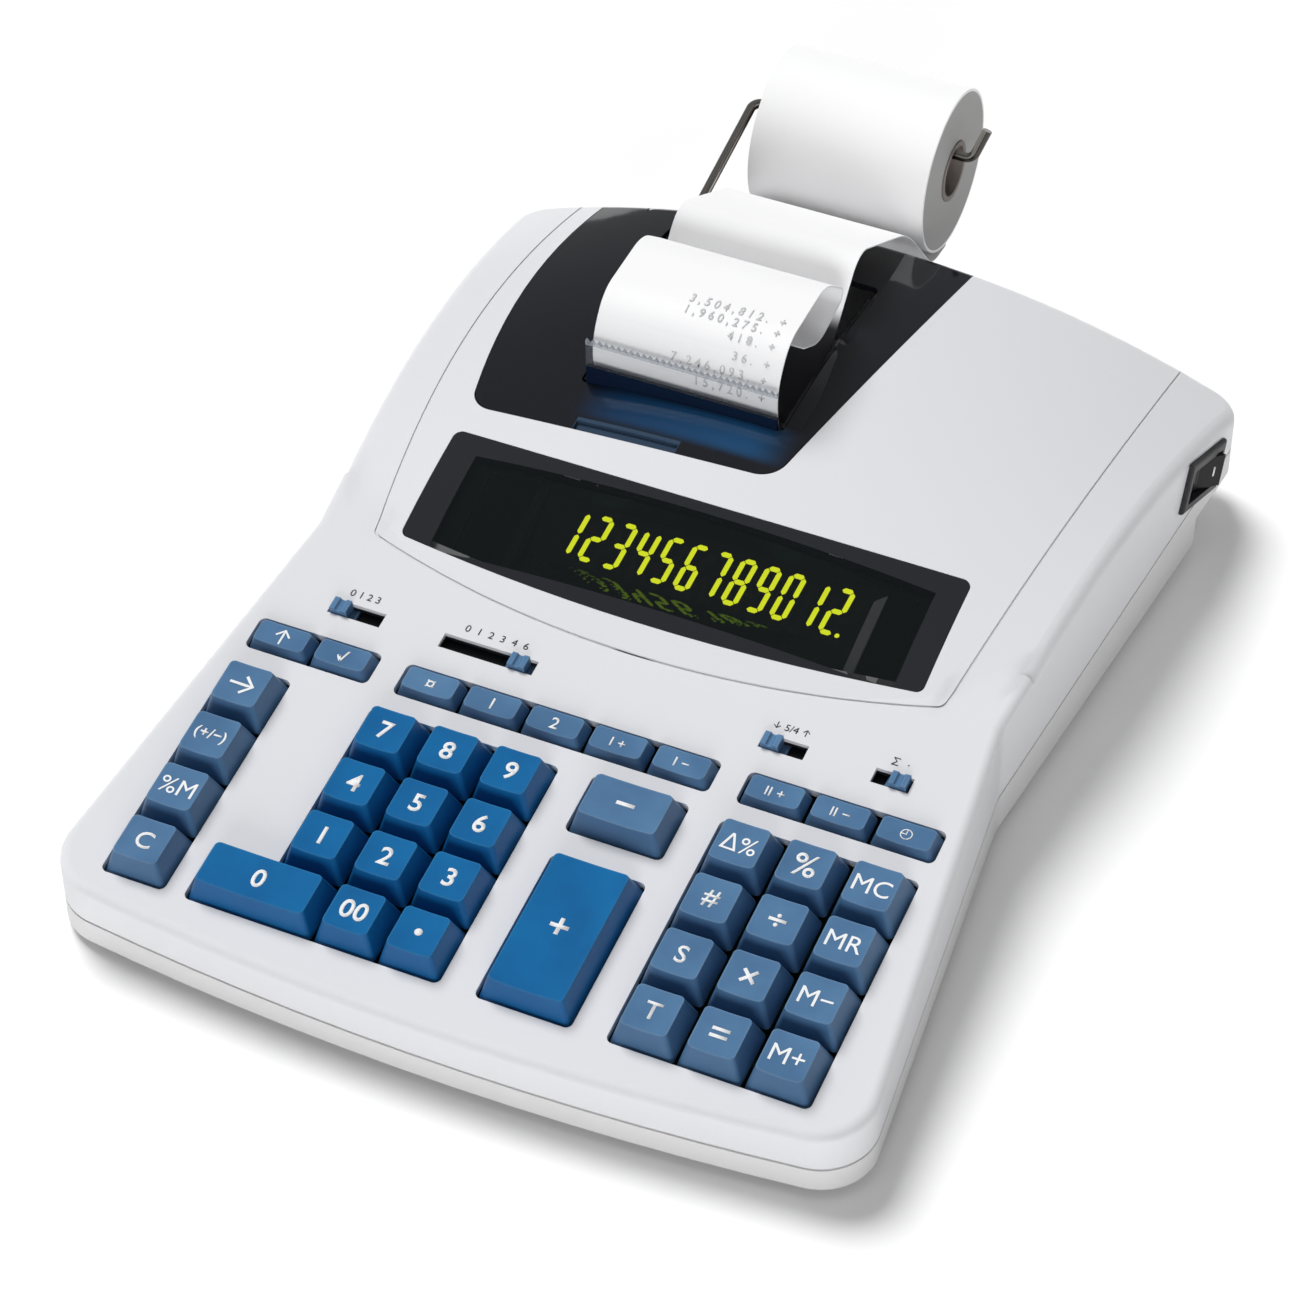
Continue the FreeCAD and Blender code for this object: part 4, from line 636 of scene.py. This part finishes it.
# Printer cover and tear bar
# A smoked moulding that lifts on hinges at the back: nearly black, and blue where light comes
# through its front panel. It turns down at both sides of the paper opening, and a clear
# toothed bar is fixed at the front of that opening.

# The band of painted light on the front panel: its middle and reach, and where it brightens to the
# right.
PANEL_Y, PANEL_REACH_Y = 0.0165, 0.0085
PANEL_X, PANEL_REACH_X = -0.0170, 0.0350
PANEL_LIGHT_X = (-0.055, 0.008)
GRIP_Y = (0.0015, 0.0085)
GRIP_X = (-0.0472, -0.0148)
TEETH_HEIGHT = 0.0016
TEAR_FOOT_DEPTH = 0.0094
cover = Finish("smoked_cover", Roughness=0.06)
cover.set("Specular IOR Level", 0.36)
cover_x, cover_y = cover.axis("X"), cover.axis("Y")


def soft_band(finish, position, middle, reach):
    """One inside a band about the middle, falling off smoothly to nothing at its reach."""
    away = (position - middle) * (1.0 / reach)
    return finish.ramp(away * away, 1.0, 0.25)


# Painted light: a blue band on the front panel where light comes through, brighter towards the
# right.
panel = (soft_band(cover, cover_y, PANEL_Y, PANEL_REACH_Y)
         * soft_band(cover, cover_x, PANEL_X, PANEL_REACH_X))
panel_blue = cover.mix(cover.ramp(cover_x, *PANEL_LIGHT_X, "LINEAR"), (0.006, 0.022, 0.060),
                       (0.010, 0.060, 0.150))
smoke = cover.mix(cover.noise(15.0), (0.008, 0.009, 0.012), (0.012, 0.013, 0.017))
grip = between(cover_y, *GRIP_Y) * between(cover_x, *GRIP_X)
cover.set("Base Color", cover.mix(grip, cover.mix(panel, smoke, panel_blue),
                                  (0.03, 0.055, 0.095)))
dress(cover, "printer_cover")

clear = Finish("clear_plastic", Roughness=0.06)
bar_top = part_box("tear_bar")[1].z
teeth = clear.axis("Z") > bar_top - TEETH_HEIGHT
foot = clear.axis("Z") < bar_top - TEAR_FOOT_DEPTH
clear.set("Alpha", 0.10 + 0.5 * teeth + 0.9 * foot)
pale = clear.mix(clear.noise(50.0), (0.28, 0.31, 0.35), (0.36, 0.39, 0.43))
clear.set("Base Color", clear.mix(foot, pale, (0.004, 0.010, 0.028)))
dress(clear, "tear_bar")

CHEEK_STEPS = 14
CHEEK_RUN = (0.024, 0.090)
CHEEK_FLOOR = 0.0529
CHEEK_THICKNESS = 0.0008
CHEEK_SINK = 0.0004


def exit_cheek(name, x, beside):
    """A cheek at x that reaches up to the skin of the cover, whose height is read beside it."""
    deselect()
    bpy.ops.mesh.primitive_grid_add(x_subdivisions=CHEEK_STEPS, y_subdivisions=1, size=2.0)
    cheek = bpy.context.object
    cheek.name = name
    start, end = CHEEK_RUN
    for vertex in cheek.data.vertices:
        y = start + (vertex.co.x + 1.0) / 2.0 * (end - start)
        top = nodes["printer_cover"].ray_cast(Vector((beside, y, 0.2)), Vector((0, 0, -1)))[1].z
        vertex.co = (x, y, top - CHEEK_SINK if vertex.co.y > 0 else CHEEK_FLOOR)
    thick = cheek.modifiers.new("thick", "SOLIDIFY")
    thick.thickness = CHEEK_THICKNESS
    thick.offset = 0.0
    bpy.ops.object.modifier_apply(modifier="thick")
    cheek.data.materials.append(cover.material)
    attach(cheek, "printer_cover")


exit_cheek("exit_cheek_right", 0.0102, 0.0135)
exit_cheek("exit_cheek_left", -0.0522, -0.0555)


# Printer mechanism
# A frame of moulded black plastic stands inside the hump. It carries a rubber feed roller
# and an ink roller, whose pins turn in its side plates.

works = moulded("works_plastic", (0.02, 0.02, 0.023), (0.014, 0.014, 0.016), 0.5)
dress(works, "printer_frame", "power_switch_body")
roller = moulded("roller_rubber", (0.035, 0.035, 0.037), (0.025, 0.025, 0.026), 0.7, 0.00008,
                 1200.0)
dress(roller, "feed_roller", "ink_roller")


# Paper roll and strip
# Plain calculator paper. Its sheet comes off the roll over the back of the cover, and the
# printed end curls over behind the tear bar. Inside the printer the sheet lies in the dark.

SUNK_LEVEL = (0.0695, 0.0640)
SUNK_Y = (0.0315, 0.0900)
paper = Finish("paper", Roughness=0.72)
paper_white = paper.mix(paper.noise(55.0, 4.0), (0.90, 0.90, 0.91), (0.93, 0.93, 0.935))
# Painted shade: the sheet is coloured dark where it runs down inside the printer, under the cover.
sunk = paper.ramp(paper.axis("Z"), *SUNK_LEVEL) * between(paper.axis("Y"), *SUNK_Y)
paper.set("Base Color", paper.mix(sunk, paper_white, (0.03, 0.03, 0.035)))
paper.bump(paper.noise(1800.0, 3.0), 0.00003, 0.4)
paper.set("Sheen Weight", 0.1)
dress(paper, "paper_strip")
SHEET_BEND = (Vector((-0.021, 0.106, 0.065)), Vector((-0.021, 0.142, 0.065)))
SHEET_CUTS = 18
SHEET_MERGE = 0.000002
SHEET_EDGE = math.radians(40.0)


def paper_sheet():
    """The strip, cut finely behind the cover, where it would bend if the arm lifted the roll."""
    sheet = bpy.data.objects.new("paper_sheet", nodes["paper_strip"].data.copy())
    bpy.context.scene.collection.objects.link(sheet)
    deselect()
    sheet.select_set(True)
    bpy.context.view_layer.objects.active = sheet
    bpy.ops.mesh.customdata_custom_splitnormals_clear()
    bpy.ops.object.mode_set(mode="EDIT")
    start, end = SHEET_BEND
    for i in range(SHEET_CUTS + 1):
        bpy.ops.mesh.select_all(action="SELECT")
        bpy.ops.mesh.bisect(plane_co=start.lerp(end, i / SHEET_CUTS), plane_no=(0, 1, 0),
                            threshold=SHEET_MERGE)
    bpy.ops.object.mode_set(mode="OBJECT")
    bpy.ops.object.shade_smooth_by_angle(angle=SHEET_EDGE, keep_sharp_edges=False)
    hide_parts("paper_strip")
    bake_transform(sheet)
    return sheet


printed_sheet = paper_sheet()

LAYER_RATE = 26000.0
CORE_EDGE = 0.0098
ROLL_EDGE = 0.0252


def wound_paper():
    """Paper seen from its wound ends and from its face, with a cardboard core."""
    finish = Finish("wound_paper", Roughness=0.75)
    roll_low, roll_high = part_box("paper_roll")
    away = finish.node("ShaderNodeVectorMath", {"operation": "SUBTRACT"},
                       {0: finish.place, 1: tuple((roll_low + roll_high) / 2)})
    radial = finish.node("ShaderNodeVectorMath", {"operation": "MULTIPLY"},
                         {0: away, 1: (0.0, 1.0, 1.0)})
    out = finish.node("ShaderNodeVectorMath", {"operation": "LENGTH"}, {0: radial},
                      output="Value")
    wave = finish.node("ShaderNodeMath", {"operation": "SINE"}, {0: out * LAYER_RATE})
    ends = finish.mix(0.5 + 0.5 * wave, (0.33, 0.33, 0.325), (0.42, 0.42, 0.415))
    core = finish.mix(finish.noise(400.0, 3.0), (0.16, 0.14, 0.13), (0.25, 0.22, 0.20))
    inside = finish.mix(out < CORE_EDGE, ends, core)
    finish.set("Base Color", finish.mix(out > ROLL_EDGE, inside, (0.94, 0.94, 0.945)))
    finish.bump(wave * 0.5, 0.00006, 0.3)
    return finish


dress(wound_paper(), "paper_roll")

LINES = ("3,504,812. +", "1,960,275. +", "418. +", "36. +", "7,246,093. +", "15,720. +",
         "980,431. +", "2,657. +")
LINE_PLACES = (0.0899, 0.0863, 0.0824, 0.0771, 0.0723, 0.0676, 0.0632, 0.0588)
LINE_HEIGHT = 0.0036
LINE_WEIGHT = 0.00004
LINE_SPACING = 1.6
LINE_END = 0.0040
LINE_LIFT = 0.00014
LINE_DROP = 0.08
STRIP_FACING = math.radians(45.0)
grey_print = Finish("grey_print", Roughness=0.7)
grey_print.set("Base Color", grey_print.mix(grey_print.noise(1500.0, 3.0), (0.48, 0.48, 0.49),
                                            (0.72, 0.72, 0.73)))


def paper_line(i, text, along):
    """One printed line; "along" is its height on a plane that leans back by the facing."""
    letters = lettering("paper_line_" + str(i), text, LINE_HEIGHT, LINE_WEIGHT, LINE_SPACING)
    width = letters.bound_box[6][0] - letters.bound_box[0][0]
    turn = Matrix.Rotation(STRIP_FACING, 4, "X")
    start = Matrix.Translation((LINE_END - width / 2, 0.0, 0.0))
    lay_on(letters, start @ turn @ Matrix.Translation((0.0, along, LINE_DROP)),
           printed_sheet, grey_print, "casing", LINE_LIFT)


for i, (text, along) in enumerate(zip(LINES, LINE_PLACES)):
    paper_line(i, text, along)


# Paper arm
# One bent wire, nickel plated. One end pivots in the casing behind the cover, and the roll
# hangs on the other, which turns up into a hook.

# Painted reflections on the plated wire: dark and bright bands, set by how far the wire faces up.
PAINTED_REFLECTION_BANDS = ((0.0, (0.05, 0.045, 0.04)), (0.35, (0.10, 0.09, 0.08)), (0.5, (0.95, 0.90, 0.84)),
         (0.65, (0.12, 0.11, 0.10)), (1.0, (0.40, 0.38, 0.36)))
plated = Finish("plated_wire", Metallic=1.0)
# Painted reflection: the base colour follows these bands by how far the surface faces up.
painted_reflection = plated.node("ShaderNodeValToRGB", {"stops": PAINTED_REFLECTION_BANDS}, {"Fac": plated.facing_up()})
plated.set("Base Color", plated.mix(0.12 * plated.noise(200.0, 3.0), painted_reflection, (0.6, 0.58, 0.56)))
plated.set("Roughness", 0.16 + 0.12 * plated.noise(900.0, 2.0))
dress(plated, "paper_arm")


# Power switch
# A black rocker in a frame that snaps into the right-hand wall. Its two plain marks are
# printed in white on the ends of the rocker.

rocker_black = moulded("rocker_plastic", (0.012, 0.012, 0.013), (0.008, 0.008, 0.009), 0.3)
rocker_black.set("Specular IOR Level", 0.15)
dress(rocker_black, "power_rocker")
SWITCH_MIDDLE = Vector((0.1142, 0.0902, 0.0295))
SWITCH_LEAN = math.radians(-20.0)
WALL_TURN = math.radians(-4.8)
MARK_HEIGHT = 0.0042
MARK_WEIGHT = 0.0001
MARK_DROP = 0.010
MARK_AWAY = 0.0062


def rocker_mark(name, text, along):
    """A mark on one end of the rocker; "along" is its distance behind the pivot."""
    letters = lettering(name, text, MARK_HEIGHT, MARK_WEIGHT)
    turn = Matrix.Rotation(WALL_TURN, 4, "Z") @ Matrix.Rotation(SWITCH_LEAN, 4, "X")
    facing = Matrix.Rotation(math.pi / 2, 4, "Z") @ Matrix.Rotation(math.pi / 2, 4, "X")
    place = Matrix.Translation(SWITCH_MIDDLE) @ turn @ Matrix.Translation((MARK_DROP, along, 0.0))
    lay_on(letters, place @ facing, nodes["power_rocker"], white_print, "power_rocker")


rocker_mark("mark_off", "O", -MARK_AWAY)
rocker_mark("mark_on", "I", MARK_AWAY)


# Table, light and camera
# A pale table top under soft light from the upper left, and a long lens at the height of a
# standing person.

deselect()
bpy.ops.mesh.primitive_plane_add(size=6.0)
table = bpy.context.object
table.name = "table_top"
white = Finish("table_white", Roughness=0.9)
white.set("Base Color", (0.97, 0.97, 0.97))
white.set("Specular IOR Level", 0.1)
sight = white.node("ShaderNodeLightPath", output="Is Camera Ray")
white.set("Emission Color", white.mix(sight, (0.0, 0.0, 0.0), (1.0, 1.0, 1.0)))
white.set("Emission Strength", 0.02)
table.data.materials.append(white.material)

WORLD_STRENGTH = 0.23
world = bpy.data.worlds.new("studio")
bpy.context.scene.world = world
world.use_nodes = True
world.node_tree.nodes["Background"].inputs["Color"].default_value = (1.0, 1.0, 1.0, 1.0)
world.node_tree.nodes["Background"].inputs["Strength"].default_value = WORLD_STRENGTH


def far_light(name, energy, spread, direction):
    """A wide, distant light that leaves no reflection of its own."""
    light = bpy.data.lights.new(name, "SUN")
    light.energy = energy
    light.angle = math.radians(spread)
    lamp = bpy.data.objects.new(name, light)
    bpy.context.scene.collection.objects.link(lamp)
    lamp.rotation_euler = Vector(direction).to_track_quat("-Z", "Y").to_euler()
    lamp.visible_glossy = False


far_light("window_light", 2.9, 28.0, (0.45, -0.34, -0.82))
far_light("front_fill", 2.25, 40.0, (-0.28, 0.96, -0.09))

CAMERA_PLACE = (0.3559, -0.8204, 0.8502)
CAMERA_RIGHT = Vector((0.911307, 0.411680, -0.006348))
CAMERA_DOWN = Vector((0.280960, -0.633064, -0.721312))
CAMERA_AHEAD = Vector((-0.300968, 0.655553, -0.692581))
SENSOR = 36.0
LENS = 116.23
lens = bpy.data.cameras.new("camera")
lens.sensor_width = SENSOR
lens.lens = LENS
lens.clip_start = 0.05
camera = bpy.data.objects.new("camera", lens)
bpy.context.scene.collection.objects.link(camera)
camera_turn = Matrix((CAMERA_RIGHT, -CAMERA_DOWN, -CAMERA_AHEAD)).transposed().to_4x4()
camera.matrix_world = Matrix.Translation(CAMERA_PLACE) @ camera_turn
bpy.context.scene.camera = camera
bpy.context.scene.view_settings.view_transform = "Standard"
